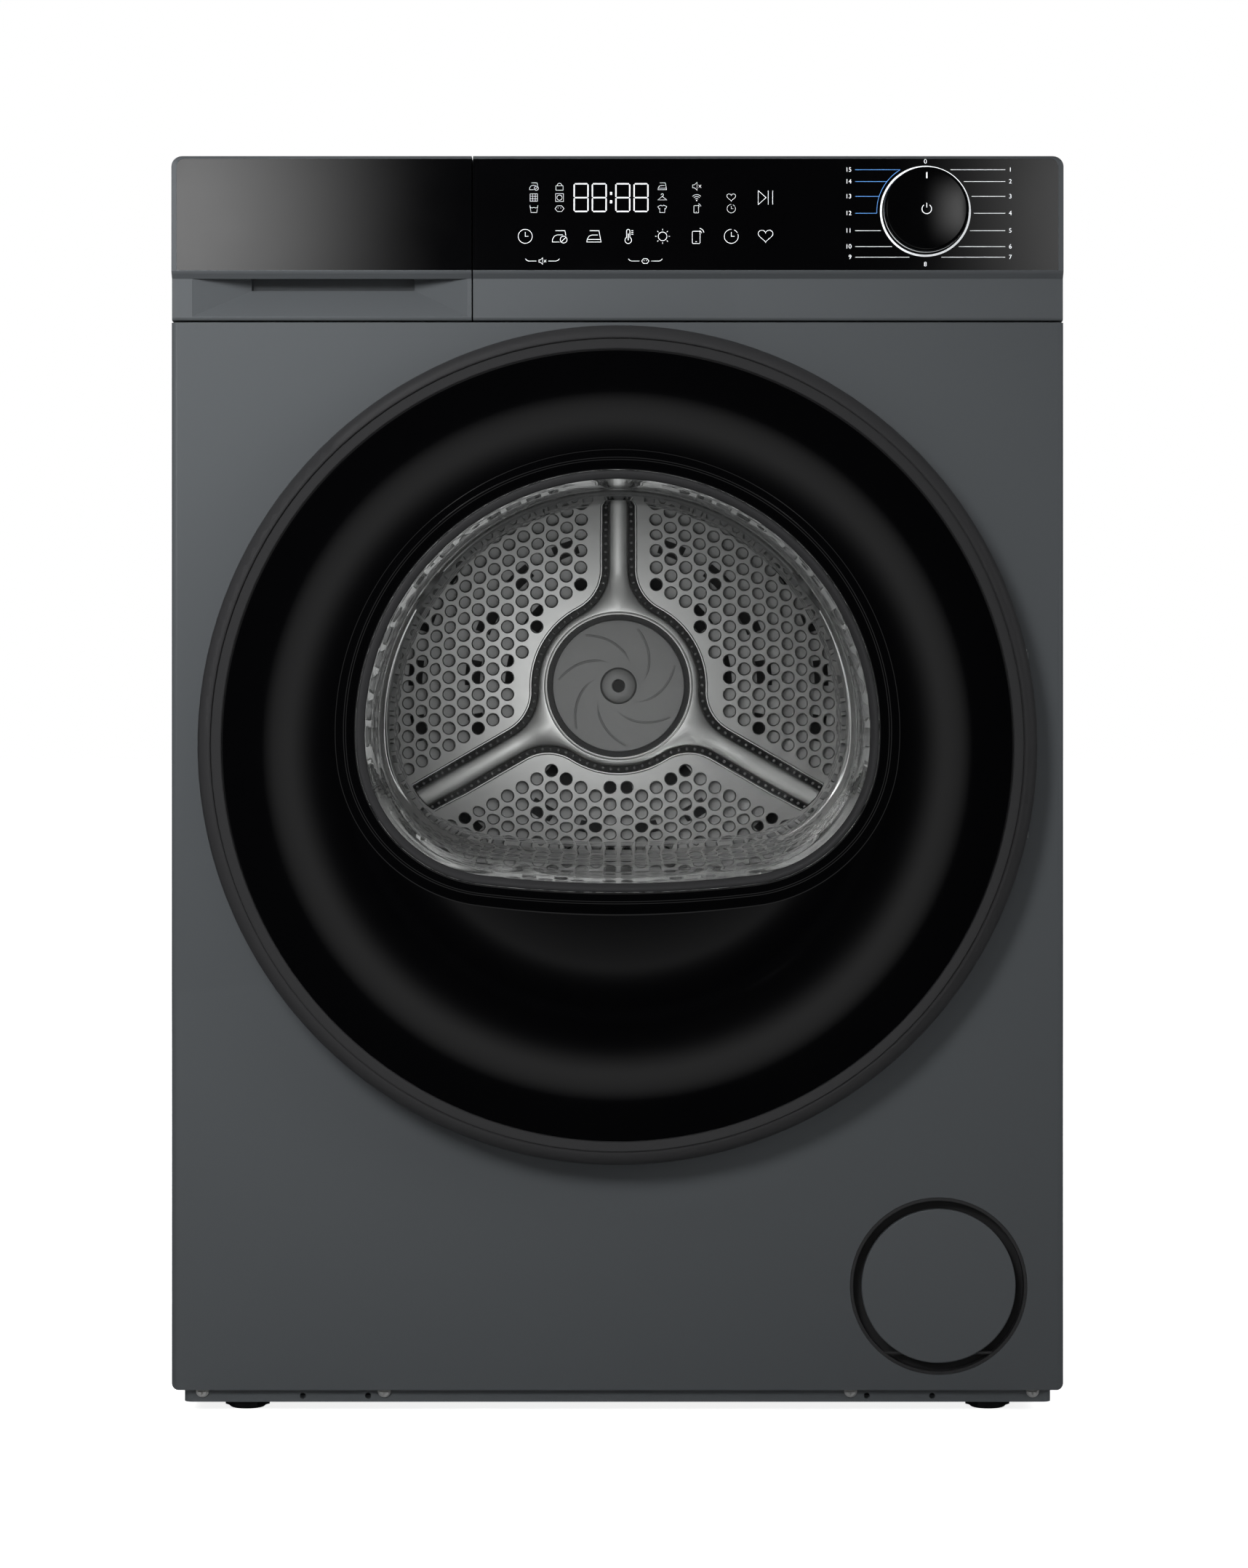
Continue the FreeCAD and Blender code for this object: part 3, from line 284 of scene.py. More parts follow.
def round_corners(points, radius, steps=5):
    """An open path of (a, b) points with each inner corner rounded."""
    path = [points[0]]
    for before, corner, after in zip(points, points[1:], points[2:]):
        corner_at = Vector(corner)
        into, out = (Vector(before) - corner_at), (Vector(after) - corner_at)
        reach = min(radius, into.length * 0.45, out.length * 0.45)
        start, end = corner_at + into.normalized() * reach, corner_at + out.normalized() * reach
        for step in range(steps + 1):
            part = step / steps
            path.append(tuple(start * (1 - part) ** 2 + corner_at * 2 * part * (1 - part) + end * part ** 2))
    path.append(points[-1])
    return path


def window_loop(margin=0.0, lift=0.0, floor_lift=0.0):
    """The door window's outline grown by a margin, as points at even angles round the door's middle."""
    low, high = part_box("door_lip")
    top_radius = (high.x - low.x) / 2 / MM + 0.1
    corner, bow = 95.0, 762.0
    top_z = high.z / MM - top_radius + 0.1 - door_middle.z / MM
    gap = low.z / MM - 0.1 - door_middle.z / MM + bow - top_z
    reach, depth = top_radius - corner, bow - corner
    corner_z = (reach ** 2 - depth ** 2 + gap ** 2) / (2 * gap)
    corner_x = math.sqrt(reach ** 2 - corner_z ** 2)
    side, foot = math.atan2(corner_z, corner_x), math.atan2(corner_z - gap, corner_x)
    arcs = ((0, 0, top_radius, side, math.pi - side),
            (-corner_x, corner_z, corner, math.pi - side, math.pi - foot),
            (0, gap, bow, -math.pi - foot, foot),
            (corner_x, corner_z, corner, foot, side))
    dense, arc_steps = [], 160
    for x, z, radius, start, end in arcs:
        for step in range(arc_steps):
            angle, grown = start + (end - start) * step / arc_steps, radius + margin
            dense.append((x + grown * math.cos(angle), z + grown * math.sin(angle) + top_z))
    polar = sorted((math.atan2(z, x), math.hypot(x, z)) for x, z in dense)
    polar = [(polar[-1][0] - 2 * math.pi, polar[-1][1])] + polar + [(polar[0][0] + 2 * math.pi, polar[0][1])]
    loop, place = [], 0
    for angle in LOOP_ANGLES:
        while polar[place + 1][0] < angle:
            place += 1
        (a0, r0), (a1, r1) = polar[place], polar[place + 1]
        radius = r0 + (r1 - r0) * (angle - a0) / (a1 - a0)
        x, z = radius * math.cos(angle), radius * math.sin(angle) + lift
        if z < 0:
            z *= 1 - floor_lift
        loop.append((door_middle.x + x * MM, door_middle.z + z * MM))
    return loop


def circle_loop(radius):
    return [(door_middle.x + radius * MM * math.cos(angle), door_middle.z + radius * MM * math.sin(angle))
            for angle in LOOP_ANGLES]


def mix_loops(first, second, part):
    return [(a[0] + (b[0] - a[0]) * part, a[1] + (b[1] - a[1]) * part) for a, b in zip(first, second)]


def skin(name, rings, closed=True, smooth_angle=40):
    """A surface through rings of (loop, y), with y in millimetres. An open one gets a face over each end."""
    verts, count = [], len(rings[0][0])
    for loop, y in rings:
        verts += [(x, y * MM, z) for x, z in loop]
    faces = grid_faces(len(rings), count, closed)
    if not closed:
        faces.append(tuple(range(count)))
        faces.append(tuple(range((len(rings) - 1) * count, len(rings) * count)))
    return make_piece(name, verts, faces, smooth_angle)


# ---------------------------------------------------------------- door

def dish_height(radius):
    """The dish's front surface: a steep rim, a concave shoulder, then nearly flat round the window."""
    edge, floor, flat, curve = -321.8, -299.0, 150.0, 290.6
    if radius < flat:
        return floor
    return max(floor - (curve - math.sqrt(max(curve ** 2 - (radius - flat) ** 2, 0))), edge)


def make_dish():
    """The gloss funnel, with a rolled lip round the window."""
    rim, lip_start, steps = circle_loop(263.2), window_loop(13.0), 56
    bead = ((0.0, 0.0), (2.0, -0.2), (4.0, -1.5), (5.5, -2.1), (7.0, -2.3), (8.5, -2.1), (10.5, -1.3))
    rows = [(mix_loops(rim, lip_start, step / steps), 0.0) for step in range(steps + 1)]
    rows += [(window_loop(margin + 0.2), rise) for margin, rise in reversed(bead)]
    verts = [(x, -319.0 * MM, z) for x, z in rim]
    for loop, rise in rows:
        for x, z in loop:
            radius = math.hypot(x - door_middle.x, z - door_middle.z) / MM
            verts.append((x, (dish_height(radius) + rise) * MM, z))
    verts += [(x, -297.2 * MM, z) for x, z in window_loop(0.2)]
    piece = make_piece("door_dish_shell", verts, grid_faces(len(rows) + 2, LOOP_POINTS), 60)
    return finish_piece(piece, "door", "gloss_black", ["door_dish"])


def make_lip():
    """The soft dark frame of the window."""
    section = ((-0.1, -297.2), (-0.1, -300.0), (-0.7, -300.6), (-2.6, -300.6), (-5.2, -299.2), (-6.0, -298.2),
               (-6.0, -297.2))
    piece = skin("window_lip", [(window_loop(margin), y) for margin, y in section], smooth_angle=50)
    return finish_piece(piece, "door", "satin_black", ["door_lip"])


def make_bowl():
    """The pressed glass bowl: a flange, sloping walls and a slightly domed end."""
    rise = 0.04
    outer = [(1.4, 0, 0, -297.0), (1.4, 0, 0, -294.2), (-2, 0, 0, -293.6), (-3.4, 0.5, 0.1, -270),
             (-5.2, 1.4, 0.5, -240), (-6.8, 2.4, 0.9, -222), (-8.4, 3.6, 1, -213), (-10.8, 4.6, 1, -208),
             (-14, 5, 1, -205.6), (-20, 5, 1, -205.2)]
    inner = [(-6, 0, 0, -297.0), (-7.4, 0.5, 0.1, -271), (-9.2, 1.4, 0.5, -242), (-10.8, 2.4, 0.9, -225),
             (-12.2, 3.6, 1, -216.5), (-14.6, 4.6, 1, -212), (-18, 5, 1, -209.8), (-24, 5, 1, -209.3)]

    def wall(sections):
        return [(window_loop(margin, lift, rise * part), y) for margin, lift, part, y in sections]

    def dome(ring, bulge):
        loop, y = ring
        centre = (sum(x for x, _ in loop) / len(loop), sum(z for _, z in loop) / len(loop))
        return [([(centre[0] + (x - centre[0]) * size, centre[1] + (z - centre[1]) * size) for x, z in loop],
                 y + bulge * (1 - size * size)) for size in (0.85, 0.65, 0.45, 0.25, 0.02)]

    outside, inside = wall(outer), wall(inner)
    rings = dome(inside[-1], 0.1)[::-1] + inside[::-1] + outside + dome(outside[-1], 0.15)
    piece = skin("door_glass_bowl", rings, closed=False, smooth_angle=70)
    piece.visible_shadow = False
    return finish_piece(piece, "door", "clear_glass", ["door_bowl"])


# ---------------------------------------------------------------- drum

HOLE_PITCH, HOLE_RADIUS = 13.5, 4.5
ARM_ANGLES = (90, 210, 330)


def drum_point(a, height, b):
    """A point beside the drum's axis, with y measured from the rear wall's face, in millimetres."""
    return (drum_middle.x + a * MM, wall_face + height * MM, drum_middle.z + b * MM)


def lathe_on_wall(name, section, steps=192, smooth_angle=40):
    """A turned piece on the drum's axis, with y measured from the rear wall's face."""
    profile = [(radius, wall_face / MM + y) for radius, y in section]
    return lathe(name, profile, drum_middle, steps, smooth_angle)


def wall_cell(x, z, edge_column, solid):
    """One cell of the perforated wall: a hexagon, with a hole whose rim stands a little proud."""
    steps, half = 24, HOLE_PITCH / 2
    corners = []
    for step in range(steps):
        angle = 2 * math.pi * step / steps
        sector = math.floor(math.degrees(angle) / 60 + 1e-6)
        reach = half / math.cos(angle - math.radians(60 * sector + 30))
        corners.append((reach * math.cos(angle), reach * math.sin(angle)))
    if edge_column:
        corners = [(max(a, -half) if a > -half / 2 else -half, b) for a, b in corners]
        corners = [(a, math.copysign(half, b)) if a == -half and abs(b) > half / 2 else (a, b)
                   for a, b in corners]
    rings = [[(a, b, 0.0) for a, b in corners]]
    if not solid:
        for margin, depth in ((0.9, 0.0), (0.75, -0.45), (0.45, -0.6), (0.1, -0.3), (0.0, 1.5)):
            rings.append([(a, b, depth) for a, b in circle(HOLE_RADIUS + margin, steps)])
    return [[(x + a, depth, z + b) for a, b, depth in ring] for ring in rings]


def behind_arm(x, z):
    """Whether a cell of the wall is covered by the spider, where no holes are made."""
    hub_cover, arm_length, half_arm = 79, 204, 20.5
    if math.hypot(x, z) < hub_cover:
        return True
    for angle in ARM_ANGLES:
        cosine, sine = math.cos(math.radians(angle)), math.sin(math.radians(angle))
        if 0 < x * cosine + z * sine < arm_length and abs(z * cosine - x * sine) < half_arm:
            return True
    return False


def make_perforated_wall():
    outer, most_rows = (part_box("drum_wall")[1].x - drum_middle.x) / MM, 24
    verts, faces = [], []
    for column in range(int(outer / HOLE_PITCH * 2)):
        for row in range(-most_rows, most_rows + 1):
            x = HOLE_PITCH * (0.5 + column * math.sqrt(3) / 2)
            z = HOLE_PITCH * (row + 0.5 * (column % 2))
            if math.hypot(x, z) > outer - 2:
                continue
            solid = behind_arm(x, z) or math.hypot(x, z) > outer - 2.5 * HOLE_PITCH
            rings = wall_cell(x, z, column == 0, solid)
            steps = len(rings[0])
            cell_faces = [tuple(range(steps))] if solid else grid_faces(len(rings), steps)
            for side in (1, -1):
                faces += shifted(cell_faces, len(verts))
                for ring in rings:
                    verts += [drum_point(side * a, depth, b) for a, depth, b in ring]
    piece = make_piece("drum_perforated_wall", verts, faces, 45)
    face_front(piece)
    finish_piece(piece, "drum", "stainless", ["drum_wall"])
    section = ((-26, 257.9), (-12, 257.9), (-6, 256.4), (-1, 252.0), (0, 246.0), (0, 259.2), (-26, 259.2))
    rim = lathe("drum_wall_rim", [(outer + inset, y) for inset, y in section], drum_middle)
    finish_piece(rim, "drum", "stainless")


def spider_loop(inset):
    """The spider's outline moved inwards: three round-ended arms that flare into the hub's circle."""
    half, hub, reach, flare = 14.7 - inset, 71.0 - inset, 199.0 - inset, 34.0 + inset
    run, tip = half + flare, reach - half
    along = math.sqrt((hub + flare) ** 2 - run ** 2)
    lean = math.atan2(run, along)
    quarter = []
    for step in range(13):
        angle = math.pi / 2 * step / 12
        quarter.append((tip + half * math.cos(angle), half * math.sin(angle)))
    for step in range(1, 25):
        quarter.append((tip + (along - tip) * step / 24, half))
    for step in range(1, 17):
        angle = -math.pi / 2 - (math.pi / 2 - lean) * step / 16
        quarter.append((along + flare * math.cos(angle), run + flare * math.sin(angle)))
    for step in range(1, 9):
        angle = lean + (math.pi / 3 - lean) * step / 8
        quarter.append((hub * math.cos(angle), hub * math.sin(angle)))
    mirrored = [(a, -b) for a, b in quarter[-2:0:-1]]
    loop = []
    for arm in ARM_ANGLES:
        cosine, sine = math.cos(math.radians(arm)), math.sin(math.radians(arm))
        loop += [(a * cosine - b * sine, a * sine + b * cosine) for a, b in mirrored + quarter]
    return loop


def make_spider():
    """A pressed plate with a raised bar on each arm and a beaded groove along its edges. The plate is a
    lighter copy of the steel as painted highlight, and its groove band and the bar's sides are a near-black
    copy as painted shade.
    """
    section = ((-0.3, 0.4), (0.1, -1.8), (0.6, -2.5), (1.3, -2.5), (1.9, -1.6), (2.3, -0.3), (6.4, -0.3),
               (6.8, -0.8), (7.1, -5.4), (7.5, -6.6), (8.2, -7.2))
    plate_height = section[-1][1]
    hub_radius, hub_steps, shading = 59.0, 120, 50
    verts = []
    for inset, height in section:
        outline = spider_loop(inset)
        verts += [drum_point(a, height, b) for a, b in outline]
    piece = make_piece("drum_spider_plate", verts, grid_faces(len(section), len(outline)), shading)
    work = bmesh.new()
    work.from_mesh(piece.data)
    border = [edge for edge in work.edges if edge.is_boundary
              and max(v.co.y for v in edge.verts) < wall_face - 6.5 * MM]
    ring = [work.verts.new(drum_point(a, plate_height, b)) for a, b in circle(hub_radius, hub_steps)]
    inner = [work.edges.new((ring[step], ring[(step + 1) % hub_steps])) for step in range(hub_steps)]
    bmesh.ops.triangle_fill(work, edges=border + inner, use_beauty=True, normal=(0, -1, 0))
    bmesh.ops.recalc_face_normals(work, faces=work.faces)
    work.to_mesh(piece.data)
    work.free()
    shade(piece, shading)
    # The plate takes the lighter copy of the steel: a painted highlight.
    finish_piece(piece, "drum", "arm_steel_painted_highlight", ["drum_spider"])
    # The groove band and the sloping sides of the bar take the near-black copy of the steel: painted shade.
    piece.data.materials.append(looks["groove_steel_painted_shade"])
    for face in piece.data.polygons:
        depth = (face.center.y - wall_face) / MM
        if -0.35 < depth < 0.0 or -6.0 < depth < -2.6:
            face.material_index = 1
    bright = lathe_on_wall("hub_bright_ring", ((59.4, -7.0), (59.0, -8.6), (58.0, -9.0), (57.0, -8.8),
                                               (56.4, -7.4), (56.2, -4.0), (59.4, -4.0)))
    finish_piece(bright, "drum", "bright_steel")
    shaft = lathe("drum_rear_shaft", ((0.5, 260), (8.9, 260), (8.9, 299), (8.2, 300), (0.5, 300)),
                  drum_middle, 48)
    finish_piece(shaft, "drum", "foot_black")


def make_beads():
    """The small pressed beads that run along the spider's grooves."""
    path, pitch = spider_loop(4.5), 6.4
    rings, turns = ((1.35, -0.5), (1.0, -1.0), (0.4, -1.25)), 8
    verts, faces = [], []
    travelled, due = 0.0, 0.0
    for (a0, b0), (a1, b1) in zip(path, path[1:] + path[:1]):
        length = math.hypot(a1 - a0, b1 - b0)
        while due < travelled + length:
            part = (due - travelled) / length
            a, b = a0 + (a1 - a0) * part, b0 + (b1 - b0) * part
            first = len(verts)
            for radius, height in rings:
                verts += [drum_point(a + aside, height, b + up) for aside, up in circle(radius, turns)]
            faces += shifted(grid_faces(len(rings), turns), first)
            faces.append(tuple(range(len(verts) - turns, len(verts))))
            due += pitch
        travelled += length
    piece = make_piece("spider_beads", verts, faces, 80)
    finish_piece(piece, "drum", "hub_plastic")


def make_hub_cap():
    """The cap over the shaft, with its bore closed by a black lining as painted shade, the dark gap round it
    filled by a black ring of painted shade, and seven curved ribs.
    """
    cap = lathe_on_wall("drum_hub_disc", ((4.7, -5.2), (4.7, -9.4), (5.4, -10.0), (12.6, -10.0), (13.8, -9.4),
                                          (14.6, -8.2), (30, -7.6), (49.5, -8.4), (52.0, -8.2), (52.8, -7.4),
                                          (52.8, -5.2)), smooth_angle=35)
    finish_piece(cap, "drum", "hub_plastic", ["drum_hub_cap"])
    # A black floor and lining inside the bore: painted shade where the bore's inside would be dark.
    bore = lathe_on_wall("hub_bore_shade", ((0.05, -5.4), (4.4, -5.4), (4.5, -9.3), (4.68, -9.3), (4.68, -5.0),
                                      (0.05, -5.0)), 48)
    finish_piece(bore, "drum", "foot_black")
    # A satin-black ring fills the gap between the cap and the spider: painted shade.
    gap_shade = lathe_on_wall("hub_shadow_ring", ((52.9, -5.0), (56.6, -5.0), (56.6, -3.6), (52.9, -3.6)))
    finish_piece(gap_shade, "drum", "satin_black")
    ribs, steps, start, length, sweep = 7, 16, 17, 31, 1.25
    verts, faces = [], []
    for turn in range(ribs):
        spine = []
        for step in range(steps + 1):
            part = step / steps
            radius = start + length * part
            angle = 2 * math.pi * turn / ribs + sweep * part ** 0.8
            spine.append((radius * math.cos(angle), radius * math.sin(angle)))
        first = len(verts)
        for index, (a, b) in enumerate(spine):
            a1, b1 = spine[min(index + 1, steps)]
            a0, b0 = spine[max(index - 1, 0)]
            run = math.hypot(a1 - a0, b1 - b0)
            side = (-(b1 - b0) / run, (a1 - a0) / run)
            height = -7.55 - 0.85 * (math.hypot(a, b) - start) / 32
            verts += [drum_point(a + side[0] * offset, height + lift, b + side[1] * offset)
                      for offset, lift in ((-0.9, 0.15), (0.0, -0.55), (0.9, 0.15))]
        for low in range(first, first + 3 * steps, 3):
            faces += [(low + edge, low + edge + 1, low + edge + 4, low + edge + 3) for edge in range(2)]
    finish_piece(make_piece("hub_swirl", verts, faces, 80), "drum", "hub_plastic")


def make_wall_backing():
    """What shows through the holes: the air guide behind the drum's rear wall, fixed to the cabinet."""
    disc = lathe("air_guide", ((24, 270.5), (150, 268.5), (246, 268.5), (246, 270), (24, 272)), drum_middle)
    finish_piece(disc, "cabinet", "wall_backing")


# ---------------------------------------------------------------- printed marks

class Marks:
    """Thin raised strokes and numbers on one upright face, gathered into one mesh."""

    def __init__(self, face):
        self.front, self.back = face - 0.15 * MM, face + 0.1 * MM
        self.verts, self.faces = [], []

    def stroke(self, points, width=0.5, closed=False):
        """A line of one width through (x, z) points in millimetres."""
        count, first = len(points), len(self.verts)
        for index, (x, z) in enumerate(points):
            before = points[index - 1] if index or closed else (x, z)
            after = points[(index + 1) % count] if index < count - 1 or closed else (x, z)
            into = Vector((x - before[0], z - before[1]))
            out = Vector((after[0] - x, after[1] - z))
            into = into.normalized() if into.length else out.normalized()
            out = out.normalized() if out.length else into
            along = (into + out).normalized() if (into + out).length > 1e-6 else into
            reach = width / 2 / max(along.dot(into), 0.5)
            aside = Vector((-along.y, along.x)) * reach
            for sign, y in ((1, self.front), (-1, self.front), (-1, self.back), (1, self.back)):
                self.verts.append(((x + sign * aside.x) * MM, y, (z + sign * aside.y) * MM))
        self.faces += shifted(grid_faces(count, 4, closed), first)
        if not closed:
            last = first + (count - 1) * 4
            self.faces += [tuple(range(first, first + 4)), tuple(range(last, last + 4))]

    def icon(self, draw, x, z, size, width):
        """One icon, from a function that draws its lines round its own middle."""
        def line(points, closed=False, share=1.0):
            self.stroke([(x + a * size, z + b * size) for a, b in points], width * share, closed)

        draw(line)

    def plate(self, outline):
        """A filled flat shape."""
        count, first = len(outline), len(self.verts)
        for y in (self.front, self.back):
            self.verts += [(x * MM, y, z * MM) for x, z in outline]
        self.faces += shifted(grid_faces(2, count), first)
        self.faces += [tuple(range(first, first + count)), tuple(range(first + count, first + 2 * count))]

    def number(self, text, x, z, height, align="CENTER"):
        """A dial number."""
        curve = bpy.data.curves.new("number", "FONT")
        curve.body = str(text)
        curve.size = height * 1.4
        curve.align_x, curve.align_y = align, "CENTER"
        curve.extrude = 0.08
        holder = bpy.data.objects.new("number", curve)
        mesh = bpy.data.meshes.new_from_object(holder)
        first, middle_y = len(self.verts), (self.front + self.back) / 2
        self.verts += [((x + v.co.x) * MM, middle_y - v.co.z * MM, (z + v.co.y) * MM) for v in mesh.vertices]
        self.faces += shifted([face.vertices for face in mesh.polygons], first)
        bpy.data.objects.remove(holder)

    def finish(self, name, body, slot, look):
        return finish_piece(make_piece(name, self.verts, self.faces, 30), body, look)


def arc(x, z, radius, start=0, end=360, steps=32):
    """Points along an arc, angles in degrees. A full circle leaves its last point out."""
    count = steps if abs(end - start) == 360 else steps + 1
    turns = [math.radians(start + (end - start) * step / steps) for step in range(count)]
    return [(x + radius * math.cos(turn), z + radius * math.sin(turn)) for turn in turns]


def clock_icon(line):
    line(arc(0, 0, 4.7), True)
    line([(0, 2.9), (0, 0), (2.2, 0)])


def delay_icon(line):
    line(arc(0, 0, 4.7, 88, 378))
    line(arc(0, 0, 4.7, 30, 66, 8))
    line([(0, 2.9), (0, 0), (2.2, 0)])


def iron_icon(line):
    line([(-2.8, 3.8), (3.4, 3.8), (4.8, -3.8), (-4.8, -3.8), (-4.5, -1.9), (-3.3, 0.1), (-1.4, 0.9),
          (2.6, 0.9)])
    line([(-4.0, -2.1), (4.2, -2.1)])


def crease_icon(line):
    line([(-2.8, 3.8), (3.6, 3.8), (4.2, 0.6)])
    line([(2.2, 1.0), (-1.6, 1.0), (-3.6, 0.1), (-4.7, -2.0), (-4.9, -3.8), (-0.2, -3.8)])
    line(arc(2.7, -2.2, 2.3), True)
    line([(1.2, -3.7), (4.2, -0.7)])


def thermometer_icon(line):
    line(arc(0, 3.6, 1.1, 180, 0, 8) + arc(0, -2.6, 2.2, 60, -240, 20), True)
    line([(0, -2.6), (0, 1.8)], share=1.5)
    for level in (3.8, 2.6, 1.4):
        line([(2.0, level), (3.4, level)])


def sun_icon(line):
    line(arc(0, 0, 2.9), True)
    for turn in range(8):
        angle = math.radians(45 * turn)
        line([(reach * math.cos(angle), reach * math.sin(angle)) for reach in (4, 5)])


def phone_icon(line):
    line([(-2.6, -4.8), (1.6, -4.8), (2.1, -4.3), (2.1, 2.9), (1.6, 3.4), (-2.6, 3.4), (-3.1, 2.9),
          (-3.1, -4.3)], True)
    line([(-1.0, -3.6), (0.0, -3.6)])
    for reach in (1.9, 3.5):
        line(arc(1.3, 1.9, reach, 10, 80, 8))


def heart_icon(line):
    points, steps = [], 36
    for step in range(steps):
        turn = 2 * math.pi * step / steps
        up = 13 * math.cos(turn) - 5 * math.cos(2 * turn) - 2 * math.cos(3 * turn) - math.cos(4 * turn)
        points.append((16 * math.sin(turn) ** 3 * 0.31, up * 0.29 + 0.7))
    line(points, True)


def lock_icon(line):
    line([(-4, -4.4), (4, -4.4), (4, 0.6), (-4, 0.6)], True)
    line(arc(0, 0.8, 2.6, 180, 0, 12))


def drum_icon(line):
    line([(-4.4, -4.4), (4.4, -4.4), (4.4, 4.4), (-4.4, 4.4)], True)
    line(arc(0, 0, 2.9), True)


def face_icon(line):
    line([(-5, 0), (-2.4, 3.2), (2.4, 3.2), (5, 0), (2.4, -3.2), (-2.4, -3.2)], True)
    for side in (-1.5, 1.5):
        line([(side, 0.2), (side, 1.2)])


def grid_icon(line):
    line([(-4.2, -4), (4, -4), (4, 4.2), (-4.2, 4.2)], True)
    for level in (-1.3, 1.5):
        line([(-4.2, level), (4, level)], share=0.8)
        line([(level, -4), (level, 4.2)], share=0.8)


def tub_icon(line):
    line([(-4.4, 3.8), (-3.2, -4.4), (3.2, -4.4), (4.4, 3.8)])
    line([(-3.9, 1.4), (-2, 0.7), (0, 1.4), (2, 0.7), (3.9, 1.4)])


def hanger_icon(line):
    line([(0, 1.4), (5, -2.6), (-5, -2.6)], True)
    line([(0, 1.4)] + arc(0, 3.0, 1.3, -90, 180, 10))


def shirt_icon(line):
    line([(-1.6, 4), (-5, 2.2), (-3.6, -0.4), (-2.8, 0.2), (-2.8, -4.4), (2.8, -4.4), (2.8, 0.2),
          (3.6, -0.4), (5, 2.2), (1.6, 4), (0, 2.8)], True)


def mute_icon(line):
    line([(-4.6, -1.6), (-2.6, -1.6), (0.4, -4.4), (0.4, 4.4), (-2.6, 1.6), (-4.6, 1.6)], True)
    for rise in (-1, 1):
        line([(2.2, -1.6 * rise), (5, 1.6 * rise)])


def signal_icon(line):
    for reach in (2.2, 4.4, 6.6):
        line(arc(0, -3.2, reach, 45, 135, 10))
    line(arc(0, -3.2, 0.5, steps=8), True)


def play_icon(line):
    line([(-5, 4.7), (-5, -4.7), (0.3, 0)], True)
    for bar in (1.7, 4.7):
        line([(bar, -4.7), (bar, 4.7)])


def display_digit(marks, x, z, width, height):
    """Seven lit bars with slanted ends."""
    thick, gap = 0.85, 0.3
    half_x, half_z = width / 2 - thick / 2, height / 2 - thick / 2

    def bar(start, end):
        along = (Vector(end) - Vector(start)).normalized()
        aside = Vector((-along.y, along.x)) * thick / 2
        first, last = Vector(start) + along * gap, Vector(end) - along * gap
        tip = along * thick / 2
        marks.plate([(x + p.x, z + p.y) for p in (first, first + tip + aside, last - tip + aside, last,
                                                  last - tip - aside, first + tip - aside)])
    for level in (-half_z, 0, half_z):
        bar((-half_x, level), (half_x, level))
    for side in (-half_x, half_x):
        bar((side, 0), (side, half_z))
        bar((side, -half_z), (side, 0))


def make_display():
    """The lit display and the touch marks. Their words aren't on it."""
    marks = Marks(panel_face)
    digit_width, digit_height, digit_z = 10.1, 19.4, knob_middle.z / MM + 9.2
    for x in (-24.4, -12.2, 3.6, 15.8):
        display_digit(marks, x, digit_z, digit_width, digit_height)
    colon_x, dot = -4.3, ((-0.7, -1), (0.7, -1), (0.7, 1), (-0.7, 1))
    for rise in (-2.8, 2.8):
        marks.plate([(colon_x + a, digit_z + rise + b) for a, b in dot])
    small, thin, rows = 0.6, 0.2, (digit_z + 7.6, digit_z, digit_z - 7.4)
    for x, icons in ((-56.1, (crease_icon, grid_icon, tub_icon)),
                     (-38.9, (lock_icon, drum_icon, face_icon)),
                     (30.1, (iron_icon, hanger_icon, shirt_icon)),
                     (53.2, (mute_icon, signal_icon, phone_icon)),
                     (76.4, (None, heart_icon, delay_icon))):
        for icon, z in zip(icons, rows):
            if icon:
                marks.icon(icon, x, z, small, thin)
    bold, touch_x, touch_z, pitch = 0.34, -61.9, digit_z - 26, 23.05
    marks.icon(play_icon, 99.5, digit_z, 1.0, bold)
    for index, icon in enumerate((clock_icon, crease_icon, iron_icon, thermometer_icon, sun_icon, phone_icon,
                                  delay_icon, heart_icon)):
        marks.icon(icon, touch_x + pitch * index, touch_z, 1.0, bold)
    bracket_z, bracket = touch_z - 16.6, ((4, 0), (9.2, 0), (10.4, 0.4), (11.4, 1.5))
    for middle_x, icon in ((-50.4, mute_icon), (18.7, face_icon)):
        marks.icon(icon, middle_x, bracket_z, 0.5, 0.28)
        for side in (-1, 1):
            marks.stroke([(middle_x + side * reach, bracket_z + rise) for reach, rise in bracket], 0.3)
    marks.finish("display_marks", "cabinet", "dial_white", "dial_white")


def make_dial_marks():
    """Leader lines and numbers round the dial; four lines on the left are blue and share an arc."""
    white, blue = Marks(panel_face), Marks(panel_face)
    x, z = knob_middle.x / MM, knob_middle.z / MM
    clear, label_left, label_right, label_gap = 32.6, 49.5, 56.0, 2.4
    line, height, blue_rows = 0.3, 3.0, 4
    rows = (27.9, 20.0, 10.0, -1.3, -13.0, -23.7, -30.8)
    for index, rise in enumerate(rows):
        inner = math.sqrt(clear ** 2 - rise ** 2)
        left = blue if index < blue_rows else white
        left.stroke([(x - label_left + label_gap, z + rise), (x - inner, z + rise)], line)
        white.stroke([(x + inner, z + rise), (x + label_right - label_gap, z + rise)], line)
        white.number(len(rows) * 2 + 1 - index, x - label_left, z + rise, height, "RIGHT")
        white.number(index + 1, x + label_right, z + rise, height, "LEFT")
    start, end = (180 - math.degrees(math.asin(rows[row] / clear)) for row in (0, blue_rows - 1))
    blue.stroke(arc(x, z, clear, start, end, 24), line)
    white.number(0, x, z + 33.4, height)
    white.number(len(rows) + 1, x, z - 35.6, height)
    white.finish("dial_marks", "cabinet", "dial_white", "dial_white")
    blue.finish("dial_marks_blue", "cabinet", "dial_white", "panel_blue")


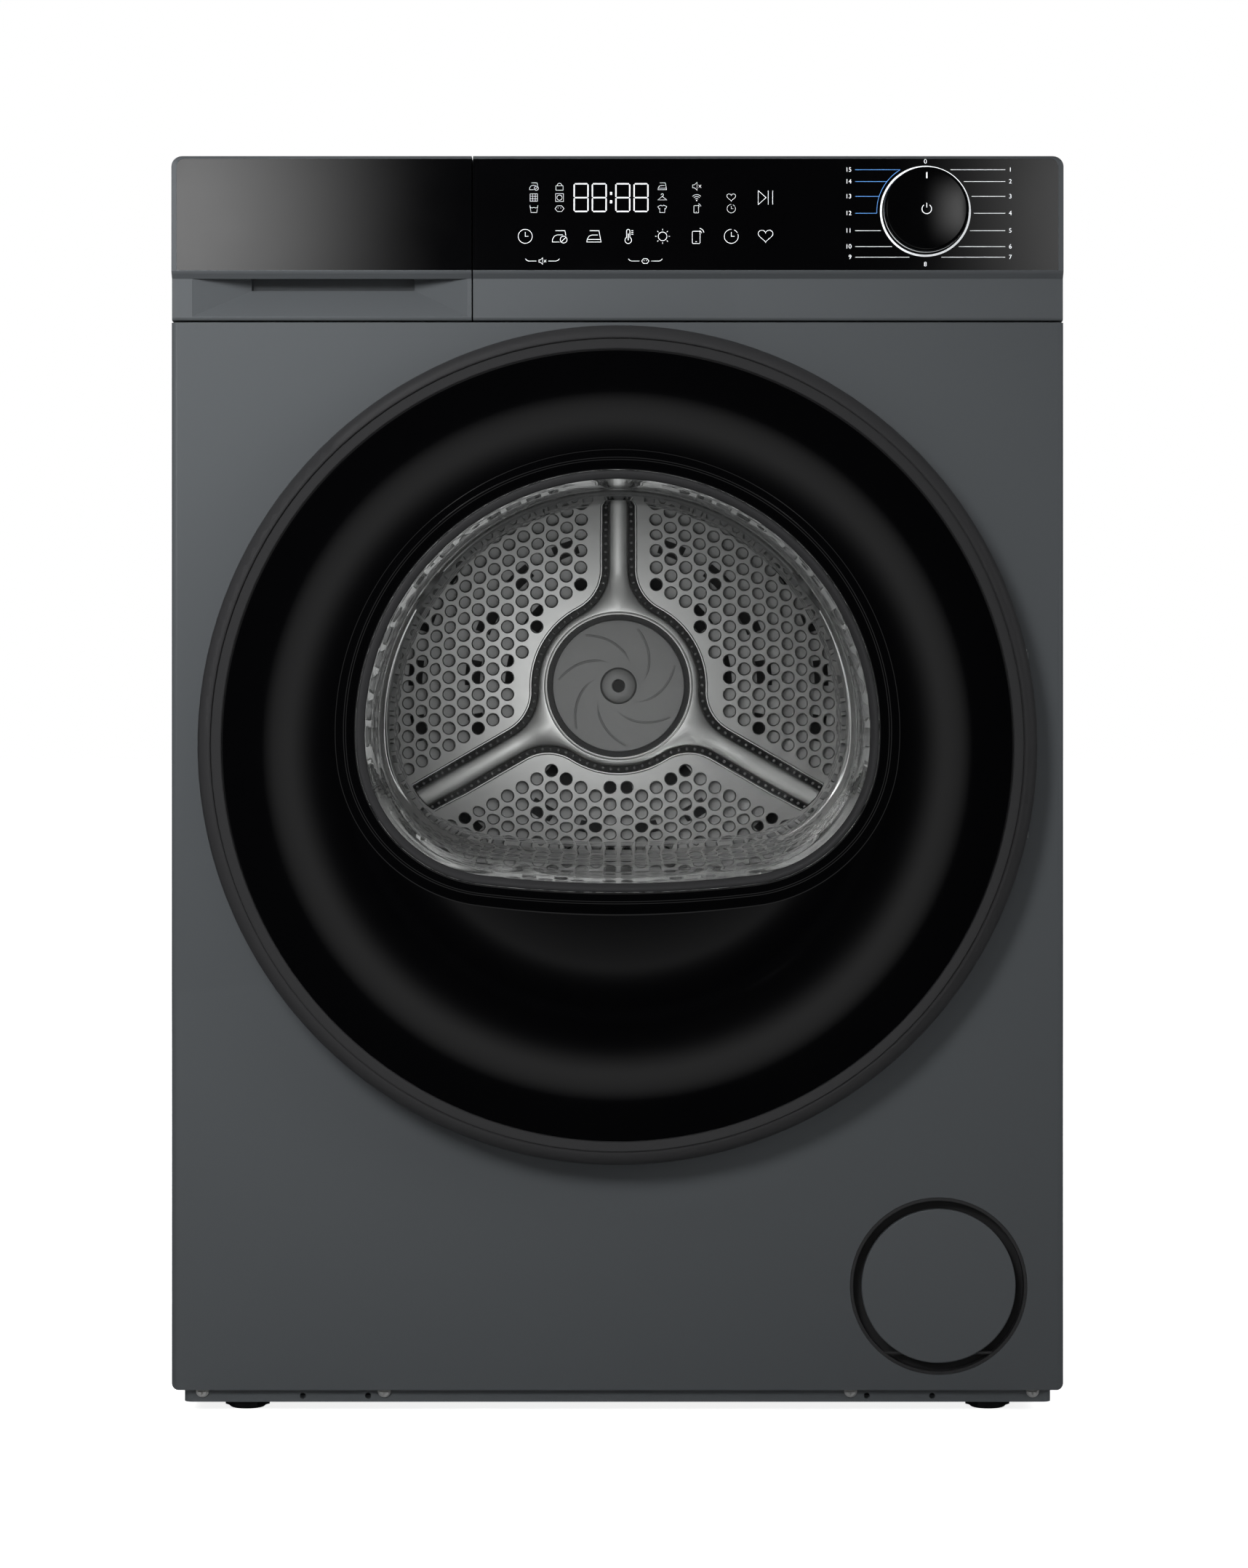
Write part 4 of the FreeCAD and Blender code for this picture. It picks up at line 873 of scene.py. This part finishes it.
def make_selector():
    """The dial: a gloss face, a pointer and a power symbol."""
    low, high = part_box("selector_knob")
    radius, back = (high.x - low.x) / 2 / MM, panel_face / MM - 0.6
    tip, wall, axis = low.y / MM, 2.5, 0.01
    face, inside = tip + 0.25, tip + 3.6
    profile = round_corners([(axis, face), (radius - 1.6, face), (radius - 0.7, tip + 0.9),
                             (radius, tip + 2.6), (radius, back), (radius - wall, back)], 0.8)
    profile += [(radius - wall, inside), (axis, inside)]
    knob = lathe("selector_dial", profile, knob_middle, 160, smooth_angle=35)
    finish_piece(knob, "selector", "gloss_black", ["selector_knob"])
    marks = Marks(face * MM)
    x, z = knob_middle.x / MM, knob_middle.z / MM
    marks.stroke([(x, z + radius - 8), (x, z + radius - 4)], 0.9)
    marks.stroke(arc(x, z, 3.2, 125, 415), 0.5)
    marks.stroke([(x, z + 0.9), (x, z + 4.0)], 0.5)
    marks.finish("selector_pointer", "selector", "dial_white", "dial_white")


# ---------------------------------------------------------------- back and small fittings

def screw_heads(name, places, radius, body):
    """Pan-head cross-slot screws that face backwards."""
    verts, faces, steps = [], [], 24
    head_height, slot_floor, slot_reach, half_slot = 2.05, 0.9, 0.46, 0.1
    rings = ((1, 0.0), (1, 0.7), (0.86, 1.5), (0.55, 2.0), (0.5, head_height))
    cross = []
    for turn in range(4):
        angle = math.pi / 2 * turn
        for a, b in ((slot_reach, -half_slot), (slot_reach, half_slot), (half_slot, half_slot)):
            cross.append(((a * math.cos(angle) - b * math.sin(angle)) * radius,
                          (a * math.sin(angle) + b * math.cos(angle)) * radius))

    def nearest(step):
        """The slot's corner that is closest in angle to a step of the rim."""
        rim_angle = 2 * math.pi * step / steps
        return min(range(len(cross)), key=lambda place: abs(math.remainder(
            math.atan2(cross[place][1], cross[place][0]) - rim_angle, 2 * math.pi)))

    for x, y, z in places:
        first = len(verts)
        for share, height in rings:
            verts += [(x + a * MM, y + height * MM, z + b * MM) for a, b in circle(radius * share, steps)]
        faces += shifted(grid_faces(len(rings), steps), first)
        top, start = len(verts) - steps, len(verts)
        for height in (head_height, slot_floor):
            verts += [(x + a * MM, y + height * MM, z + b * MM) for a, b in cross]
        faces += shifted(grid_faces(2, len(cross)), start)
        faces.append(tuple(range(start + len(cross), start + 2 * len(cross))))
        for step in range(steps):
            corner, following = start + nearest(step), start + nearest(step + 1)
            face = (top + step, top + (step + 1) % steps, following)
            faces.append(face if corner == following else face + (corner,))
    return finish_piece(make_piece(name, verts, faces, 35), body, "bright_steel")


def make_rear_details():
    """Screws and pressed louvres on the back."""
    low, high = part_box("rear_panel")
    face, side_margin, end_margin = high.y, 9 * MM, 12 * MM
    places = []
    for side in (-1, 1):
        places += [(side * (high.x - side_margin), face, low.z + (high.z - low.z) * part)
                   for part in (0.02, 0.26, 0.5, 0.74, 0.98)]
    places += [(x, face, z) for x in (-0.15, 0.0) for z in (low.z + end_margin, high.z - end_margin)]
    screw_heads("rear_panel_screws", places, 4.6, "cabinet")
    rows, bottom, pitch, width, height, steps, sunk = 9, 0.125, 0.014, 0.07, 0.006, 8, 0.2
    verts, faces = [], []
    for row in range(rows):
        z = bottom + pitch * row
        for left in (-0.215, -0.125):
            first = len(verts)
            for part in range(steps + 1):
                x = left + width * part / steps
                bulge = math.sin(math.pi * part / steps) ** 0.5 if 0 < part < steps else 0
                for drop, out in ((0.0, 0.0), (height, 3.2), (0.0015, 3.2), (0.0, 3.0)):
                    verts.append((x, face + (out * bulge - sunk) * MM, z + height - drop))
            last = len(verts) - 4
            faces += shifted(grid_faces(steps + 1, 4), first)
            faces += [tuple(range(first, first + 4)), tuple(range(last, last + 4))]
    louvres = make_piece("rear_louvres", verts, faces, 40)
    finish_piece(louvres, "cabinet", "galvanised_steel")


# ---------------------------------------------------------------- carried-over pieces

def soften(item, width, angle=32, segments=3):
    """Round a CAD piece's edges a little, as pressing, moulding or paint leaves them."""
    weld = item.modifiers.new("weld", "WELD")
    weld.merge_threshold = 0.00001
    bevel = item.modifiers.new("bevel", "BEVEL")
    bevel.width = width
    bevel.segments = segments
    bevel.limit_method = "ANGLE"
    bevel.angle_limit = math.radians(angle)
    bevel.use_clamp_overlap = True
    bevel.harden_normals = True


def dress_nodes():
    """Give every carried-over CAD piece its material, and soften the edges that show."""
    for row in frame["record"]["subparts"]:
        item = nodes[row["node"]]
        look = "drum_steel" if row["node"] == "drum_shell" else row["material_slot"]
        item.data.materials.clear()
        item.data.materials.append(looks[look])
    feet = [name for name in nodes if name.startswith("foot_")]
    for width, names in ((0.2, ["fascia_glass", "drawer_glass"]), (0.35, ["front_panel"]),
                         (0.3, ["side_panel_left", "side_panel_right", "rear_panel"]),
                         (0.4, ["control_fascia", "service_bezel"]), (0.5, ["worktop", "drawer_front"] + feet),
                         (0.6, ["base_pan"]), (1.2, ["rear_air_duct"]), (2.5, ["drum_lifters"])):
        for name in names:
            soften(nodes[name], width * MM)


# ---------------------------------------------------------------- studio

def glow_panel(name, verts, faces, location):
    """A panel seen only in reflections, with its material's tree and the emission node in it."""
    mesh = bpy.data.meshes.new(name)
    mesh.from_pydata(verts, [], faces)
    item = add_object(name, mesh)
    item.location = location
    item.visible_camera = item.visible_shadow = item.visible_diffuse = item.visible_transmission = False
    lamp = bpy.data.materials.new(name)
    lamp.use_nodes = True
    tree = lamp.node_tree
    tree.nodes.clear()
    glow = add_node(tree, "Emission")
    add_node(tree, "OutputMaterial", {"Surface": glow.outputs["Emission"]})
    mesh.materials.append(lamp)
    return item, tree, glow


def softbox(name, centre, facing, width, height, strength, fade=(1, 1)):
    """A flat panel with soft edges. fade is its share of the strength at its two sides."""
    half_w, half_h = width / 2, height / 2
    corners = [(-half_w, -half_h, 0), (half_w, -half_h, 0), (half_w, half_h, 0), (-half_w, half_h, 0)]
    item, tree, glow = glow_panel(name, corners, [(0, 1, 2, 3)], centre)
    item.rotation_mode = "QUATERNION"
    item.rotation_quaternion = (Vector(facing) - Vector(centre)).to_track_quat("Z", "Y")
    split = add_node(tree, "SeparateXYZ", {"Vector": add_node(tree, "TexCoord").outputs["Object"]})

    def ramp(axis, low, high, first, last):
        values = {"Value": split.outputs[axis], "From Min": low, "From Max": high,
                  "To Min": first, "To Max": last}
        return add_node(tree, "MapRange", values, interpolation_type="SMOOTHSTEP").outputs["Result"]

    def product(first, second):
        return add_node(tree, "Math", {0: first, 1: second}, operation="MULTIPLY").outputs["Value"]

    across = ramp("X", -half_w, half_w, fade[0] * strength, fade[1] * strength)
    soft_edges = product(ramp("Y", -half_h, -half_h * 0.1, 0, 1), ramp("Y", half_h * 0.1, half_h, 1, 0))
    feed(tree, glow, {"Strength": product(across, soft_edges)})


def add_lamp(name, kind, location, target, power, in_reflections=False, **values):
    lamp = bpy.data.lights.new(name, kind)
    lamp.energy = power
    for key, value in values.items():
        setattr(lamp, key, value)
    item = add_object(name, lamp)
    item.location = location
    item.rotation_mode = "QUATERNION"
    item.rotation_quaternion = (Vector(location) - Vector(target)).to_track_quat("Z", "Y")
    item.visible_camera = False
    item.visible_glossy = in_reflections
    return item


def make_world():
    """White where the camera looks past the object, a dim room for the light, a dark one for reflections."""
    world = bpy.data.worlds.new("studio")
    scene.world = world
    world.use_nodes = True
    tree = world.node_tree
    tree.nodes.clear()
    rays = add_node(tree, "LightPath")

    def background(colour, strength):
        values = {"Color": (*colour, 1), "Strength": strength}
        return add_node(tree, "Background", values).outputs["Background"]

    def choose(ray, first, second):
        return add_node(tree, "MixShader", {"Fac": rays.outputs[ray], 1: first, 2: second}).outputs["Shader"]

    room = choose("Is Glossy Ray", background((0.92, 0.95, 1.0), 0.12), background((0.9, 0.94, 1.0), 0.012))
    add_node(tree, "OutputWorld", {"Surface": choose("Is Camera Ray", room, background((1, 1, 1), 1.0))})


def make_floor():
    """A wide pale floor that keeps its brightness out to the horizon and shows in no reflection."""
    size, drop = 60.0, -0.2 * MM
    mesh = bpy.data.meshes.new("studio_floor")
    mesh.from_pydata([(-size, -size, drop), (size, -size, drop), (size, size, drop), (-size, size, drop)],
                     [], [(0, 1, 2, 3)])
    item = add_object("studio_floor", mesh)
    item.visible_glossy = False
    floor = material("studio_floor", (0.9, 0.9, 0.9), 0.8, 0, 0.01, 8)
    tree = floor.node_tree
    in_view = add_node(tree, "LightPath").outputs["Is Camera Ray"]
    lift = add_node(tree, "MapRange", {"Value": in_view, "To Min": 0.0, "To Max": 0.86})
    feed(tree, tree.nodes["Principled BSDF"],
         {"Emission Color": (1, 1, 1, 1), "Emission Strength": lift.outputs["Result"]})
    mesh.materials.append(floor)


def light_only(lamp, pieces):
    """Keep a lamp's light to some pieces, so that it leaves no glare on the glass before them."""
    group = bpy.data.collections.new(lamp.name + "_pieces")
    for piece in pieces:
        group.objects.link(piece)
    lamp.light_linking.receiver_collection = group


def make_lights():
    make_world()
    aim = (0, 0, 0.45)
    add_lamp("sky", "SUN", (0, 0, 4), (0.2, 0.3, 0), 0.45, angle=math.radians(70))
    add_lamp("key_left", "SPOT", (-0.9, -2.4, 1.5), (-0.38, -0.3, 0.78), 365, spot_size=math.radians(44),
             spot_blend=1.0, shadow_soft_size=0.5)
    add_lamp("fill_right", "AREA", (2.6, -1.6, 1.2), aim, 25, size=1.4)
    add_lamp("back_left", "AREA", (-1.8, 2.6, 2.0), aim, 75, size=1.6)
    add_lamp("back_right", "AREA", (2.2, 1.8, 1.4), aim, 45, size=1.4)
    ahead_of_wall = ("drum_shell", "drum_support", "drum_lifters")
    wall_pieces = [item for item in scene.objects if item.name not in ahead_of_wall
                   and item.name.startswith(("drum_", "hub_", "spider_", "air_guide"))]
    hub = (drum_middle.x, wall_face, drum_middle.z)
    light_only(add_lamp("window_lamp", "AREA", (-0.05, -1.9, 0.6), hub, 7.6, True, size=0.55), wall_pieces)
    light_only(add_lamp("drum_lamp", "AREA", (-0.03, -0.17, 0.50), hub, 0.16, True, size=0.14), wall_pieces)
    make_reflections()


def make_reflections():
    """Soft panels where the flat glass and the concave dish mirror them towards the front."""
    far, panel_z, glass_point = -6.3, 1.52, (-0.1, -0.3, 0.8)
    softbox("panel_left", (-0.69, far, panel_z), glass_point, 0.62, 0.9, 5.2, (0, 1))
    softbox("panel_right", (0.82, far, panel_z), glass_point, 0.46, 0.9, 2.2, (1, 0))
    make_ring_panel()


def make_ring_panel():
    """A glowing ring round the door's axis. The dish mirrors it as one soft grey band."""
    ahead, inner, peak, outer, strength, steps = front_face - 1.2, 0.03, 0.29, 0.44, 0.5, 96
    verts = [(a, 0, b) for radius in (inner, outer) for a, b in circle(radius, steps)]
    item, tree, glow = glow_panel("dish_ring_panel", verts, grid_faces(2, steps),
                                  (door_middle.x, ahead, door_middle.z))
    place = add_node(tree, "TexCoord").outputs["Object"]
    reach = add_node(tree, "VectorMath", {0: place}, operation="LENGTH")
    fade = add_node(tree, "ValToRGB", {"Fac": reach.outputs["Value"]})
    fade.color_ramp.interpolation = "B_SPLINE"
    stops = fade.color_ramp.elements
    stops[0].position, stops[0].color = inner, (0, 0, 0, 1)
    stops[1].position, stops[1].color = outer, (0, 0, 0, 1)
    for radius, level in ((0.12, 0.02), (0.17, 0.1), (0.21, 0.4), (0.25, 0.75), (peak, 1.0), (0.38, 0.75)):
        stops.new(radius).color = (level, level, level, 1)
    scale = add_node(tree, "Math", {0: fade.outputs["Color"], 1: strength}, operation="MULTIPLY")
    feed(tree, glow, {"Strength": scale.outputs["Value"]})


def make_camera():
    """Straight at the front, at about the height of the door."""
    lens = bpy.data.cameras.new("camera")
    lens.lens, lens.sensor_width = 98.97, 36
    lens.shift_y = -0.0354
    lens.clip_end = 100
    item = add_object("camera", lens)
    item.location = (0.0044, -3.188, 0.46)
    item.rotation_euler = (math.radians(90), 0, 0)
    scene.camera = item


# ---------------------------------------------------------------- scene

looks = make_materials()
dress_nodes()
make_dish()
make_lip()
make_bowl()
make_perforated_wall()
make_wall_backing()
make_spider()
make_beads()
make_hub_cap()
make_display()
make_dial_marks()
make_selector()
make_rear_details()
make_floor()
make_lights()
make_camera()
scene.view_settings.view_transform = "Standard"
